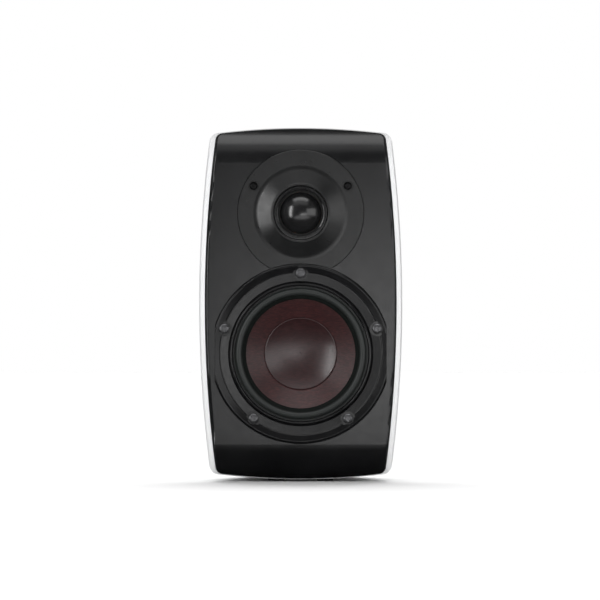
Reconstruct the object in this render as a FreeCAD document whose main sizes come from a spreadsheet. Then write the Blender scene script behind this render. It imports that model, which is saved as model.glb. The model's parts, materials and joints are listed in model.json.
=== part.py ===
"""A two-way bookshelf loudspeaker: an aluminium cabinet shell, a black front baffle that rolls back at its top and
bottom, a 4 inch woofer, a 30 mm dome tweeter, a rear reflex port, binding posts, and the crossover inside.

Frame: +Z up, the front faces -Y, and the origin is the centre of the bounding box's base. Depths are measured
backwards from the baffle's flat face. Lengths are millimetres.
"""

import FreeCAD
import Part
import Sketcher
import math
import os

from FreeCAD import Placement, Rotation, Vector

DIMENSIONS = [
    # cabinet
    ("foot_height", 1.5, "Rubber feet below the cabinet's lowest line"),
    ("cabinet_height", 252.8, "Shell height at its centre line"),
    ("cabinet_depth", 125.0, "Baffle face to back panel"),
    ("front_half_width", 71.7, "Shell half width at the front rim"),
    ("widest_half_width", 73.3, "Shell half width at its widest"),
    ("waist_half_width", 70.9, "Shell half width behind the middle"),
    ("tail_half_width", 65.9, "Shell half width near the back"),
    ("back_half_width", 58.9, "Shell half width at the back panel, before its rounding"),
    ("widest_depth", 30.0, "Depth of the widest section"),
    ("waist_depth", 68.0, "Depth of the section behind the middle"),
    ("tail_depth", 98.0, "Depth of the section near the back"),
    ("side_bow_radius", 915.0, "Radius of the bowed sides, seen from the front"),
    ("top_bow_radius", 470.0, "Radius of the bowed top and bottom, seen from the front"),
    ("front_corner_radius", 6.0, "Shell corners at the front"),
    ("back_corner_radius", 24.0, "Shell corners at the back"),
    ("back_edge_radius", 14.0, "Rounding between the walls and the back panel"),
    ("shell_wall", 4.0, "Shell wall"),
    ("back_wall", 5.0, "Back panel wall"),
    ("rim_setback", 1.1, "Shell rim behind the baffle's surface"),
    ("roll_height", 25.5, "Height of the rolled band at the top and bottom of the front"),
    ("roll_radius", 28.0, "Radius of that roll"),
    # baffle
    ("baffle_side_inset", 3.1, "Baffle edge inside the shell's side"),
    ("baffle_end_inset", 0.8, "Baffle edge inside the shell's top and bottom"),
    ("baffle_gap", 0.2, "Gap between baffle and shell"),
    ("baffle_edge_radius", 2.4, "Rounded front edge of the baffle"),
    ("baffle_wall", 4.0, "Baffle skin and skirt"),
    ("skirt_depth", 23.0, "Baffle face to the end of its skirt"),
    ("ring_depth", 10.5, "Baffle face to the back of its driver rings"),
    ("shoulder_depth", 24.2, "Baffle face to the shell's shoulder"),
    ("shoulder_thickness", 3.6, "Shell shoulder"),
    ("shoulder_width", 9.4, "Shoulder reach inwards from the shell's side"),
    ("shoulder_corner_radius", 32.0, "Corner radius of the shoulder's opening"),
    ("lug_half_span_x", 55.0, "Baffle screws from the centre line"),
    ("lug_half_span_z", 111.0, "Baffle screws from mid height"),
    ("boss_radius", 4.6, "Baffle screw bosses"),
    # woofer
    ("woofer_height", 92.0, "Woofer axis above the floor"),
    ("flange_radius", 64.5, "Woofer flange"),
    ("flange_half_width", 61.3, "Woofer flange between its side flats"),
    ("flange_thickness", 5.0, "Woofer flange behind the baffle's face"),
    ("flange_proud", 0.5, "Woofer flange in front of the baffle's face"),
    ("recess_radius", 58.1, "Recess inside the flange's rim"),
    ("recess_depth", 2.3, "Depth of that recess"),
    ("lip_radius", 49.7, "Crest of the ring round the surround"),
    ("lip_depth", 1.2, "Depth of that crest"),
    ("land_radius", 48.3, "Land that the surround is bonded to"),
    ("land_depth", 4.6, "Depth of that land"),
    ("basket_radius", 50.3, "Basket behind the flange"),
    ("screw_circle_radius", 57.6, "Woofer screws"),
    ("screw_count", 5.0, "Woofer screws"),
    ("lobe_radius", 5.4, "Rounded lobe round each woofer screw"),
    ("roll_outer", 47.0, "Surround roll, outer edge"),
    ("roll_inner", 42.0, "Surround roll, inner edge"),
    ("surround_foot_radius", 39.2, "Inner edge of the surround's foot on the cone"),
    ("surround_thickness", 0.7, "Surround"),
    ("cone_radius", 41.6, "Cone edge"),
    ("cone_edge_depth", 4.9, "Depth of the cone's edge"),
    ("cone_mid_radius", 26.5, "Point half way down the cone"),
    ("cone_mid_depth", 14.0, "Depth of that point"),
    ("cone_neck_depth", 22.0, "Depth of the cone's neck"),
    ("cone_thickness", 0.8, "Cone"),
    ("cap_radius", 25.8, "Dust cap"),
    ("cap_rim_depth", 13.65, "Depth of the dust cap's rim"),
    ("cap_dish", 6.4, "How far the cap's centre lies behind its rim"),
    ("former_inner", 12.5, "Woofer coil former, inside"),
    ("former_outer", 12.8, "Woofer coil former, outside"),
    ("winding_outer", 13.4, "Woofer coil winding"),
    ("spider_depth", 26.5, "Shelf that carries the spider"),
    ("bowl_radius", 38.5, "Rear bowl of the basket"),
    ("bowl_depth", 32.0, "Back of the basket's bowl"),
    ("plate_thickness", 4.0, "Woofer top plate"),
    ("magnet_radius", 36.0, "Woofer magnet"),
    ("magnet_height", 15.0, "Woofer magnet"),
    ("yoke_thickness", 5.0, "Woofer back plate"),
    # tweeter
    ("tweeter_height", 192.8, "Tweeter axis above the floor"),
    ("faceplate_radius", 45.3, "Tweeter faceplate"),
    ("faceplate_thickness", 4.6, "Tweeter faceplate"),
    ("woofer_notch_radius", 65.1, "Arc that the woofer takes out of the faceplate"),
    ("collar_foot_radius", 32.6, "Foot of the raised collar round the dome"),
    ("collar_crest_radius", 20.3, "Crest of that collar"),
    ("collar_height", 4.9, "Height of that collar"),
    ("dome_radius", 14.9, "Dome"),
    ("dome_base_depth", 1.2, "Depth of the dome's base"),
    ("dome_proud", 6.4, "Dome apex in front of the baffle's face"),
    ("tweeter_screw_radius", 39.0, "Tweeter screws from the tweeter's axis"),
    ("tweeter_screw_angle", 60.0, "Tweeter screws each side of straight up"),
    ("tweeter_seat_depth", 3.5, "Seats of the tweeter screws"),
    # back panel
    ("port_height", 193.0, "Reflex port axis above the floor"),
    ("port_radius", 15.0, "Reflex port bore"),
    ("port_length", 61.0, "Reflex port"),
    ("insert_height", 131.0, "Threaded insert above the floor"),
    ("insert_bore", 2.6, "Core radius of the quarter inch thread"),
    ("insert_length", 12.0, "Threaded insert"),
    ("cup_height", 70.0, "Terminal cup axis above the floor"),
    ("cup_half_width", 33.0, "Terminal cup box"),
    ("cup_half_height", 20.0, "Terminal cup box"),
    ("cup_depth", 24.0, "Terminal cup, back panel to its inner end"),
    ("cup_wall", 2.0, "Terminal cup wall"),
    ("cup_flange_half_width", 42.0, "Terminal cup flange"),
    ("cup_flange_half_height", 28.0, "Terminal cup flange"),
    ("cup_flange_thickness", 2.4, "Terminal cup flange"),
    ("post_half_span", 9.525, "Binding posts from the centre line"),
    ("post_radius", 3.0, "Binding post stud"),
    ("socket_radius", 2.0, "Plug socket in the stud"),
    ("socket_length", 17.0, "Plug socket in the stud"),
    ("knob_radius", 7.0, "Binding post knob"),
    # underside
    ("foot_half_span", 17.5, "Feet from the centre line"),
    ("foot_radius", 6.0, "Feet"),
    ("front_foot_depth", 31.5, "Front feet behind the baffle's face"),
    ("rear_foot_depth", 92.0, "Rear feet behind the baffle's face"),
    ("foot_seat", 1.3, "Foot seats, above the cabinet's lowest line"),
    # inside
    ("board_depth", 90.0, "Crossover board"),
    ("board_thickness", 1.6, "Crossover board"),
    ("lead_radius", 1.1, "Insulated leads"),
]

doc = FreeCAD.newDocument("bookshelf_speaker")
nodes = {}


# ---------------------------------------------------------------- sizes


class Size:
    """A size that knows its value and the sheet expression that it comes from."""

    def __init__(self, value, text):
        self.value = float(value)
        self.text = text

    def __add__(self, other):
        other = as_size(other)
        return Size(self.value + other.value, f"({self.text} + {other.text})")

    def __sub__(self, other):
        other = as_size(other)
        return Size(self.value - other.value, f"({self.text} - {other.text})")

    def __mul__(self, other):
        other = as_size(other)
        return Size(self.value * other.value, f"({self.text} * {other.text})")

    def __truediv__(self, other):
        other = as_size(other)
        return Size(self.value / other.value, f"({self.text} / {other.text})")

    def __neg__(self):
        return Size(-self.value, f"(-1 * {self.text})")

    __radd__ = __add__

    def __rsub__(self, other):
        return as_size(other) - self

    def __rmul__(self, other):
        return self * other


def as_size(number):
    return number if isinstance(number, Size) else Size(number, repr(float(number)))


def root(size):
    return Size(math.sqrt(size.value), f"sqrt({size.text})")


def cosine(degrees):
    degrees = as_size(degrees)
    return Size(math.cos(math.radians(degrees.value)), f"cos({degrees.text})")


def sine(degrees):
    degrees = as_size(degrees)
    return Size(math.sin(math.radians(degrees.value)), f"sin({degrees.text})")


class Sheet:
    """The driving dimensions, read as attributes."""

    def __init__(self, rows):
        sheet = doc.addObject("Spreadsheet::Sheet", "dims")
        for number, (alias, value, meaning) in enumerate(rows, start=1):
            sheet.set(f"A{number}", meaning)
            sheet.set(f"B{number}", str(value))
            sheet.setAlias(f"B{number}", alias)
        doc.recompute()
        self.values = {alias: sheet.get(alias) for alias, _, _ in rows}

    def __getattr__(self, alias):
        return Size(self.values[alias], f"dims.{alias}")


d = Sheet(DIMENSIONS)

MID_HEIGHT = d.foot_height + d.cabinet_height / 2
HALF_HEIGHT = d.cabinet_height / 2
FACE_Y = (d.dome_proud - d.cabinet_depth) / 2


def bind(thing, **sizes):
    """Ties properties of a document object to the sheet."""
    for name, size in sizes.items():
        size = as_size(size)
        setattr(thing, name, size.value)
        thing.setExpression(name, size.text)
    return thing


def place(thing, x=0, depth=0, z=0):
    """Puts an object at x, at a depth behind the baffle's face, and at a height."""
    spots = (("x", as_size(x)), ("y", FACE_Y + depth), ("z", as_size(z)))
    thing.Placement.Base = Vector(*(size.value for _, size in spots))
    for axis, size in spots:
        thing.setExpression(f"Placement.Base.{axis}", size.text)
    return thing


def node(label, thing):
    """Registers a finished sub-part under its node name."""
    thing.Label = label
    nodes[label] = thing
    return thing


# ---------------------------------------------------------------- sketches


class Through:
    """Makes the edge between the corners before and after it an arc through this point."""

    def __init__(self, x, y):
        self.spot = (as_size(x), as_size(y))


def point_of(spot):
    return Vector(spot[0].value, spot[1].value, 0)


def hold(sketch, geometry, vertex, spot):
    """Ties a vertex's two coordinates to the sheet."""
    for kind, size in (("DistanceX", spot[0]), ("DistanceY", spot[1])):
        if abs(size.value) < 1e-9:
            axis = -2 if kind == "DistanceX" else -1
            sketch.addConstraint(Sketcher.Constraint("PointOnObject", geometry, vertex, axis))
            continue
        ends = (-1, 1, geometry, vertex) if size.value > 0 else (geometry, vertex, -1, 1)
        size = size if size.value > 0 else -size
        number = sketch.addConstraint(Sketcher.Constraint(kind, *ends, size.value))
        sketch.setExpression(f"Constraints[{number}]", size.text)


def draw_outline(sketch, outline):
    """A closed outline of straight edges and arcs, every corner held by the sheet."""
    corners = [
        (as_size(item[0]), as_size(item[1])) for item in outline if not isinstance(item, Through)
    ]
    middles = {}
    seen = 0
    for item in outline:
        if isinstance(item, Through):
            middles[seen - 1] = item.spot
        else:
            seen += 1
    first = sketch.GeometryCount
    marks = []
    for number, corner in enumerate(corners):
        start = point_of(corner)
        end = point_of(corners[(number + 1) % len(corners)])
        if number in middles:
            arc = Part.Arc(start, point_of(middles[number]), end)
            index = sketch.addGeometry(arc)
            marks.append((index, middles[number], start))
        else:
            index = sketch.addGeometry(Part.LineSegment(start, end))
    arcs = {index: start for index, _, start in marks}

    def tip(index, wanted_start):
        """Which end of an edge is its outline start: an arc that runs clockwise is stored turned round."""
        if index not in arcs:
            return 1 if wanted_start else 2
        stored = sketch.getPoint(index, 1)
        straight = stored.distanceToPoint(arcs[index]) < 1e-6
        return 1 if straight == wanted_start else 2

    count = len(corners)
    for number in range(count):
        here, after = first + number, first + (number + 1) % count
        joint = Sketcher.Constraint("Coincident", here, tip(here, False), after, tip(after, True))
        sketch.addConstraint(joint)
    for number, corner in enumerate(corners):
        hold(sketch, first + number, tip(first + number, True), corner)
    for index, spot, _ in marks:
        mark = sketch.addGeometry(Part.Point(point_of(spot)), True)
        sketch.addConstraint(Sketcher.Constraint("PointOnObject", mark, 1, index))
        hold(sketch, mark, 1, spot)


def draw_circle(sketch, x, y, radius):
    centre = (as_size(x), as_size(y))
    radius = as_size(radius)
    index = sketch.addGeometry(Part.Circle(point_of(centre), Vector(0, 0, 1), radius.value))
    number = sketch.addConstraint(Sketcher.Constraint("Radius", index, radius.value))
    sketch.setExpression(f"Constraints[{number}]", radius.text)
    hold(sketch, index, 3, centre)


def box_outline(half_width, half_height):
    half_width, half_height = as_size(half_width), as_size(half_height)
    return [
        (-half_width, -half_height),
        (half_width, -half_height),
        (half_width, half_height),
        (-half_width, half_height),
    ]


def rounded_outline(half_width, half_height, radius):
    """A rectangle with round corners."""
    half_width, half_height, radius = (as_size(s) for s in (half_width, half_height, radius))
    bulge = radius * (1 - math.sqrt(0.5))
    outline = []
    for sx, sz, first_is_side in ((1, 1, True), (-1, 1, False), (-1, -1, True), (1, -1, False)):
        on_side = (half_width * sx, (half_height - radius) * sz)
        on_end = ((half_width - radius) * sx, half_height * sz)
        middle = Through((half_width - bulge) * sx, (half_height - bulge) * sz)
        outline += [on_side, middle, on_end] if first_is_side else [on_end, middle, on_side]
    return outline


def plane_of(body, role):
    return next(item for item in body.Origin.OriginFeatures if item.Role == role)


def sketch_in(body, role, outline=(), circles=(), offset=0):
    """A sketch on one of the body's own origin planes."""
    sketch = body.newObject("Sketcher::SketchObject", "Sketch")
    sketch.AttachmentSupport = [(plane_of(body, role), "")]
    sketch.MapMode = "FlatFace"
    if isinstance(offset, Size) or offset:
        offset = as_size(offset)
        sketch.AttachmentOffset = Placement(Vector(0, 0, offset.value), Rotation())
        sketch.setExpression("AttachmentOffset.Base.z", offset.text)
    if outline:
        draw_outline(sketch, outline)
    for circle in circles:
        draw_circle(sketch, *circle)
    return sketch


# ---------------------------------------------------------------- bodies


def new_body():
    return doc.addObject("PartDesign::Body", "Body")


def add_turned(body, outline, kind="Revolution"):
    """Turns an outline of (radius, depth) about the body's Y axis."""
    sketch = sketch_in(body, "XY_Plane", outline)
    turned = body.newObject(f"PartDesign::{kind}", kind)
    turned.Profile = sketch
    turned.ReferenceAxis = (sketch, ["V_Axis"])
    turned.Angle = 360
    body.Tip = turned
    return turned


def add_slab(body, near, far, outline=(), circles=(), cut=False):
    """Pads, or pockets, an outline of (x, z) from one depth to another."""
    near, far = as_size(near), as_size(far)
    kind = "Pocket" if cut else "Pad"
    sketch = sketch_in(body, "XZ_Plane", outline, circles, -far if cut else -near)
    slab = body.newObject(f"PartDesign::{kind}", kind)
    slab.Profile = sketch
    slab.Reversed = True
    bind(slab, Length=far - near)
    body.Tip = slab
    if cut:
        check_pocket(slab, near.value, far.value)
    return slab


def check_pocket(pocket, near, far):
    """Stops the build if a pocket cuts nothing, or cuts outside its own depths."""
    doc.recompute()
    gone = pocket.BaseFeature.Shape.cut(pocket.Shape)
    inside = all(near - 0.01 < corner.Y < far + 0.01 for corner in gone.Vertexes)
    if gone.Volume < 1e-6 or not inside:
        raise RuntimeError(f"{pocket.Name} cuts the wrong way")


def repeat_round(body, features, count):
    """Repeats features round the body's Y axis."""
    pattern = body.newObject("PartDesign::PolarPattern", "PolarPattern")
    pattern.Originals = features
    pattern.Axis = (plane_of(body, "Y_Axis"), [""])
    pattern.Angle = 360
    pattern.Occurrences = int(count)
    body.Tip = pattern
    return pattern


def turned(outline):
    body = new_body()
    add_turned(body, outline)
    return body


def slab(near, far, outline=(), circles=()):
    body = new_body()
    add_slab(body, near, far, outline, circles)
    return body


def rod(radius, near, far):
    return turned([(0, near), (radius, near), (radius, far), (0, far)])


def tube(inner, outer, near, far):
    return turned([(inner, near), (outer, near), (outer, far), (inner, far)])


def group(body, spots):
    """Copies of a body at several spots of (x, depth, z), as separate solids of one node."""
    links = []
    for x, depth, z in spots:
        link = doc.addObject("App::Link", "Copy")
        link.LinkedObject = body
        place(link, x, depth, z)
        links.append(link)
    compound = doc.addObject("Part::Compound", "Group")
    compound.Links = links
    return compound


def cut(base, tool):
    result = doc.addObject("Part::Cut", "Cut")
    result.Base = base
    result.Tool = tool
    return result


def common(base, tool):
    result = doc.addObject("Part::Common", "Common")
    result.Base = base
    result.Tool = tool
    return result


def fuse(*shapes):
    result = doc.addObject("Part::MultiFuse", "Fuse")
    result.Shapes = list(shapes)
    return result


def socket_screw(head_radius, head_height, shank_radius, shank_length, hex_radius):
    """A domed hex-socket screw along Y, its head's seat at depth 0 and its shank behind."""
    crown = head_height * 0.45
    body = turned(
        [
            (0, -head_height),
            (head_radius * 0.5, -head_height),
            Through(head_radius * 0.85, -head_height + crown * 0.45),
            (head_radius, -head_height + crown),
            (head_radius, 0),
            (shank_radius, 0),
            (shank_radius, shank_length - 0.6),
            (shank_radius - 0.5, shank_length),
            (0, shank_length),
        ]
    )
    hexagon = [
        (hex_radius * math.cos(math.radians(60 * k)), hex_radius * math.sin(math.radians(60 * k)))
        for k in range(6)
    ]
    add_slab(body, -head_height, -head_height * 0.2, hexagon, cut=True)
    return body


# ---------------------------------------------------------------- cabinet outlines


def draw_barrel(sketch, half_width, half_height, corner, side_radius, end_radius):
    """Four bowed sides joined by round corners, about the sketch's origin."""
    ring = [as_size(s) for s in (half_width, half_height, corner, side_radius, end_radius)]
    half_width, half_height, corner, side_radius, end_radius = ring
    w, h, rc, rs, re = (size.value for size in ring)
    side, end = Vector(w - rs, 0, 0), Vector(0, h - re, 0)
    gap = side.distanceToPoint(end)
    reach_side, reach_end = rs - rc, re - rc
    along = (gap**2 + reach_side**2 - reach_end**2) / (2 * gap)
    across = math.sqrt(reach_side**2 - along**2)
    towards = (end - side).normalize()
    normals = [Vector(towards.y, -towards.x, 0), Vector(-towards.y, towards.x, 0)]
    hub = max((side + towards * along + n * across for n in normals), key=lambda p: p.x + p.y)
    low = math.atan2((hub - side).y, (hub - side).x)
    high = math.atan2((hub - end).y, (hub - end).x)
    turn = math.pi
    arcs = [
        (side, rs, -low, low),
        (hub, rc, low, high),
        (end, re, high, turn - high),
        (Vector(-hub.x, hub.y, 0), rc, turn - high, turn - low),
        (-side, rs, turn - low, turn + low),
        (-hub, rc, turn + low, turn + high),
        (-end, re, turn + high, 2 * turn - high),
        (Vector(hub.x, -hub.y, 0), rc, 2 * turn - high, 2 * turn - low),
    ]
    for centre, radius, start, stop in arcs:
        circle = Part.Circle(centre, Vector(0, 0, 1), radius)
        sketch.addGeometry(Part.ArcOfCircle(circle, start, stop))
    for index in range(8):
        sketch.addConstraint(Sketcher.Constraint("Tangent", index, 2, (index + 1) % 8, 1))
    zero = Size(0, "0")
    for index, radius in ((0, side_radius), (4, side_radius), (2, end_radius), (6, end_radius)):
        number = sketch.addConstraint(Sketcher.Constraint("Radius", index, radius.value))
        sketch.setExpression(f"Constraints[{number}]", radius.text)
    for index in (1, 3, 5, 7):
        number = sketch.addConstraint(Sketcher.Constraint("Radius", index, corner.value))
        sketch.setExpression(f"Constraints[{number}]", corner.text)
    hold(sketch, 0, 3, (half_width - side_radius, zero))
    hold(sketch, 4, 3, (side_radius - half_width, zero))
    hold(sketch, 2, 3, (zero, half_height - end_radius))
    hold(sketch, 6, 3, (zero, end_radius - half_height))


def barrel(half_width, depth, inset=0, corner=None, end_inset=None):
    """The cabinet's front-view outline at a depth, moved inwards by an inset."""
    corner = d.front_corner_radius if corner is None else as_size(corner)
    inset = as_size(inset)
    end_inset = inset if end_inset is None else as_size(end_inset)
    sketch = doc.addObject("Sketcher::SketchObject", "Barrel")
    draw_barrel(
        sketch,
        half_width - inset,
        HALF_HEIGHT - end_inset,
        corner,
        d.side_bow_radius - inset,
        d.top_bow_radius - end_inset,
    )
    sketch.Placement.Rotation = Rotation(Vector(1, 0, 0), 90)
    place(sketch, 0, depth, MID_HEIGHT)
    return sketch


def loft(sections):
    shape = doc.addObject("Part::Loft", "Loft")
    shape.Sections = sections
    shape.Solid = True
    shape.Ruled = False
    return shape


def extrude_back(sketch, length):
    """Extrudes an upright sketch backwards."""
    shape = doc.addObject("Part::Extrusion", "Extrude")
    shape.Base = sketch
    shape.DirMode = "Custom"
    shape.Dir = Vector(0, 1, 0)
    shape.Solid = True
    bind(shape, LengthFwd=length)
    return shape


def side_profile(setback):
    """Everything behind the rolled front, as a block that is wider than the cabinet."""
    setback = as_size(setback)
    radius = d.roll_radius - setback
    straight = HALF_HEIGHT - d.roll_height
    steep, half = 80, 40
    outline = []
    for sign in (1, -1):
        bend = [
            (setback, straight * sign),
            Through(d.roll_radius - radius * cosine(half), (straight + radius * sine(half)) * sign),
            (d.roll_radius - radius * cosine(steep), (straight + radius * sine(steep)) * sign),
        ]
        tail = (d.cabinet_depth * 2, (straight + radius * sine(steep)) * sign)
        outline += [*bend, tail] if sign == 1 else [tail, *reversed(bend)]
    body = new_body()
    sketch = sketch_in(body, "YZ_Plane", outline)
    block = body.newObject("PartDesign::Pad", "Pad")
    block.Profile = sketch
    block.Midplane = True
    bind(block, Length=d.cabinet_height)
    body.Tip = block
    place(body, 0, 0, MID_HEIGHT)
    return body


def longest_loop(shape, y, tolerance=0.05):
    """Numbers of the edges that lie in one upright plane, at a depth."""
    wanted = FACE_Y.value + y
    return [
        number
        for number, edge in enumerate(shape.Edges, start=1)
        if abs(edge.BoundBox.YMin - wanted) < tolerance and abs(edge.BoundBox.YMax - wanted) < tolerance
    ]


def round_edges(base, numbers, radius):
    doc.recompute()
    result = doc.addObject("Part::Fillet", "Fillet")
    result.Base = base
    result.Edges = [(number, as_size(radius).value, as_size(radius).value) for number in numbers]
    return result


# ---------------------------------------------------------------- cabinet


def cabinet_hull(inset, front, back):
    """The cabinet's outer or inner form between two depths, its back edge rounded."""
    inset = as_size(inset)
    growth = (d.back_corner_radius - d.front_corner_radius) / 4
    stations = [
        (d.front_half_width, as_size(0), d.front_corner_radius),
        (d.widest_half_width, d.widest_depth, d.front_corner_radius + growth * 0.6),
        (d.waist_half_width, d.waist_depth, d.front_corner_radius + growth * 1.9),
        (d.tail_half_width, d.tail_depth, d.front_corner_radius + growth * 3),
        (d.back_half_width, d.cabinet_depth, d.back_corner_radius),
    ]
    if as_size(front).value > 0:
        # a form that starts inside the cabinet starts at the widest section
        stations[:2] = [(d.widest_half_width, as_size(front), stations[1][2])]
    sections = []
    for half_width, depth, corner in stations:
        reach = depth * (as_size(back) / d.cabinet_depth)
        if reach.value <= as_size(front).value:
            reach = as_size(front)
        narrow = corner - inset if corner.value - inset.value > 2.5 else as_size(2.5)
        sections.append(barrel(half_width, reach, inset, narrow))
    hull = loft(sections)
    doc.recompute()
    back_loop = longest_loop(hull.Shape, as_size(back).value)
    return round_edges(hull, back_loop, d.back_edge_radius - inset)


def panel_hole(radius, near, far, x, z):
    return place(rod(radius, near, far), x, 0, z)


def cabinet_shell():
    outer = common(cabinet_hull(0, 0, d.cabinet_depth), side_profile(d.rim_setback))
    deep = d.shoulder_depth + d.shoulder_thickness
    pocket = extrude_back(
        barrel(
            d.front_half_width,
            -5,
            d.baffle_side_inset - d.baffle_gap,
            end_inset=d.baffle_end_inset - d.baffle_gap,
            corner=d.front_corner_radius - 0.8,
        ),
        d.shoulder_depth + 5,
    )
    doorway = extrude_back(
        barrel(d.front_half_width, 0, d.shoulder_width, corner=d.shoulder_corner_radius),
        deep + 1,
    )
    cavity = cabinet_hull(d.shell_wall, deep, d.cabinet_depth - d.back_wall)
    past = d.cabinet_depth + 1
    back_inner = d.cabinet_depth - d.back_wall - 1
    tools = [
        pocket,
        doorway,
        cavity,
        panel_hole(19.5, back_inner, past, 0, d.port_height),
        panel_hole(24.2, d.cabinet_depth - 1.6, past, 0, d.port_height),
        panel_hole(5.0, d.cabinet_depth - d.insert_length - 0.5, past, 0, d.insert_height),
        place(
            slab(back_inner, past, rounded_outline(d.cup_half_width + 0.4, d.cup_half_height + 0.4, 4)),
            0,
            0,
            d.cup_height,
        ),
        place(
            slab(
                d.cabinet_depth - d.cup_flange_thickness,
                past,
                rounded_outline(d.cup_flange_half_width + 0.3, d.cup_flange_half_height + 0.3, 9),
            ),
            0,
            0,
            d.cup_height,
        ),
    ]
    for x, z in cup_screw_spots():
        tools.append(panel_hole(1.3, back_inner, past, x, d.cup_height + z))
    for sx in (-1, 1):
        for sz in (-1, 1):
            spot = (d.lug_half_span_x * sx, MID_HEIGHT + d.lug_half_span_z * sz)
            tools.append(panel_hole(2.2, d.shoulder_depth - 1, deep + 1, *spot))
    for x, depth in foot_spots():
        seat = doc.addObject("Part::Cylinder", "FootSeat")
        bind(seat, Radius=d.foot_radius + 0.2, Height=d.foot_height + d.foot_seat)
        tools.append(place(seat, x, depth, 0))
    block = place(rod(8.0, d.cabinet_depth - d.back_wall - 9, d.cabinet_depth - 2), 0, 0, d.insert_height)
    hollow = cut(outer, fuse(*tools[:3]))
    solid = fuse(hollow, block)
    node("cabinet_shell", cut(solid, fuse(*tools[3:])))


def baffle_outline(inset, depth):
    return barrel(
        d.front_half_width,
        depth,
        d.baffle_side_inset + inset,
        end_inset=d.baffle_end_inset + inset,
        corner=d.front_corner_radius - 1 - as_size(inset) * 0.5,
    )


def front_edges(shape):
    """Numbers of the edges round the baffle's front surface: every edge that touches the front faces only once."""
    limit = FACE_Y.value + d.roll_radius.value * 0.6
    back = FACE_Y.value + d.skirt_depth.value
    fronts = [
        face
        for face in shape.Faces
        if face.BoundBox.YMin < limit and face.BoundBox.YMax < back - 1 and face.BoundBox.XLength > 50
    ]
    chosen = []
    for number, edge in enumerate(shape.Edges, start=1):
        shared = sum(1 for face in fronts if any(edge.isSame(other) for other in face.Edges))
        if shared == 1:
            chosen.append(number)
    return chosen


def front_baffle():
    plug = common(extrude_back(baffle_outline(0, -2), d.skirt_depth + 2), side_profile(0))
    doc.recompute()
    rounded = round_edges(plug, front_edges(plug.Shape), d.baffle_edge_radius)
    hollow = common(
        extrude_back(baffle_outline(d.baffle_wall, 0), d.skirt_depth + 2),
        side_profile(d.baffle_wall),
    )
    rings = [
        place(rod(d.flange_radius + 1.7, 1, d.ring_depth), 0, 0, d.woofer_height),
        place(rod(d.faceplate_radius + 2.7, 1, d.ring_depth), 0, 0, d.tweeter_height),
    ]
    for sx in (-1, 1):
        for sz in (-1, 1):
            spot = (d.lug_half_span_x * sx, 0, MID_HEIGHT + d.lug_half_span_z * sz)
            rings.append(place(rod(d.boss_radius, 6, d.skirt_depth), *spot))
    limits = common(extrude_back(baffle_outline(1, -2), d.shoulder_depth + 3), side_profile(1))
    skin = cut(rounded, hollow)
    solid = fuse(skin, common(fuse(*rings), limits))

    woofer_rebate = new_body()
    add_slab(woofer_rebate, -3, d.flange_thickness + 0.6, circles=[(0, 0, d.flange_radius + 0.3)])
    flat_block = slab(
        -4,
        d.flange_thickness + 2,
        box_outline(d.flange_half_width + 0.25, d.flange_radius + 2),
    )
    tools = [
        common(place(woofer_rebate, 0, 0, d.woofer_height), place(flat_block, 0, 0, d.woofer_height)),
        panel_hole(d.basket_radius + 0.4, -3, d.ring_depth + 1, 0, d.woofer_height),
        panel_hole(d.faceplate_radius + 0.25, -3, d.faceplate_thickness + 0.5, 0, d.tweeter_height),
        panel_hole(34.8, -3, d.ring_depth + 1, 0, d.tweeter_height),
    ]
    for x, z in woofer_screw_spots():
        tools.append(panel_hole(2.0, 2, d.ring_depth + 1, x, d.woofer_height + z))
    for x, z in tweeter_screw_spots():
        tools.append(panel_hole(1.6, 2, d.ring_depth + 1, x, d.tweeter_height + z))
    for sx in (-1, 1):
        for sz in (-1, 1):
            spot = (d.lug_half_span_x * sx, MID_HEIGHT + d.lug_half_span_z * sz)
            tools.append(panel_hole(1.6, 13, d.shoulder_depth + 1, *spot))
    node("front_baffle", cut(solid, fuse(*tools)))


def baffle_gasket():
    outer = extrude_back(baffle_outline(0.4, d.skirt_depth), d.shoulder_depth - d.skirt_depth)
    inner = extrude_back(baffle_outline(d.baffle_wall - 0.5, d.skirt_depth - 1), 5)
    node("baffle_gasket", cut(outer, inner))


def baffle_screws():
    screw = turned(
        [
            (0, 0),
            (3.4, 0),
            (3.4, -2.0),
            (1.55, -2.0),
            (1.55, -13.4),
            (0, -14.0),
        ]
    )
    seat = d.shoulder_depth + d.shoulder_thickness + 2.0
    spots = [
        (d.lug_half_span_x * sx, seat, MID_HEIGHT + d.lug_half_span_z * sz)
        for sx in (-1, 1)
        for sz in (-1, 1)
    ]
    node("baffle_screws", group(screw, spots))


def foot_spots():
    return [
        (d.foot_half_span * sx, depth)
        for sx in (-1, 1)
        for depth in (d.front_foot_depth, d.rear_foot_depth)
    ]


def rubber_feet():
    """Round rubber pads, stuck into flat seats in the underside."""
    top = d.foot_height + d.foot_seat
    pad = new_body()
    sketch = sketch_in(
        pad,
        "XZ_Plane",
        [
            (0, 0),
            (d.foot_radius - 0.9, 0),
            Through(d.foot_radius - 0.26, 0.26),
            (d.foot_radius, 0.9),
            (d.foot_radius, top),
            (0, top),
        ],
    )
    turn = pad.newObject("PartDesign::Revolution", "Revolution")
    turn.Profile = sketch
    turn.ReferenceAxis = (sketch, ["V_Axis"])
    turn.Angle = 360
    pad.Tip = turn
    node("rubber_feet", group(pad, [(x, depth, 0) for x, depth in foot_spots()]))


def mount_insert():
    """A knurled brass insert for a bracket's quarter inch screw."""
    back = d.cabinet_depth
    body = turned(
        [
            (d.insert_bore, back - d.insert_length),
            (4.6, back - d.insert_length),
            (4.95, back - d.insert_length + 0.6),
            (4.95, back - 7),
            (4.4, back - 6.4),
            (4.4, back - 5.4),
            (4.95, back - 4.8),
            (4.95, back),
            (d.insert_bore, back),
        ]
    )
    node("mount_insert", place(body, 0, 0, d.insert_height))


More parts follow.
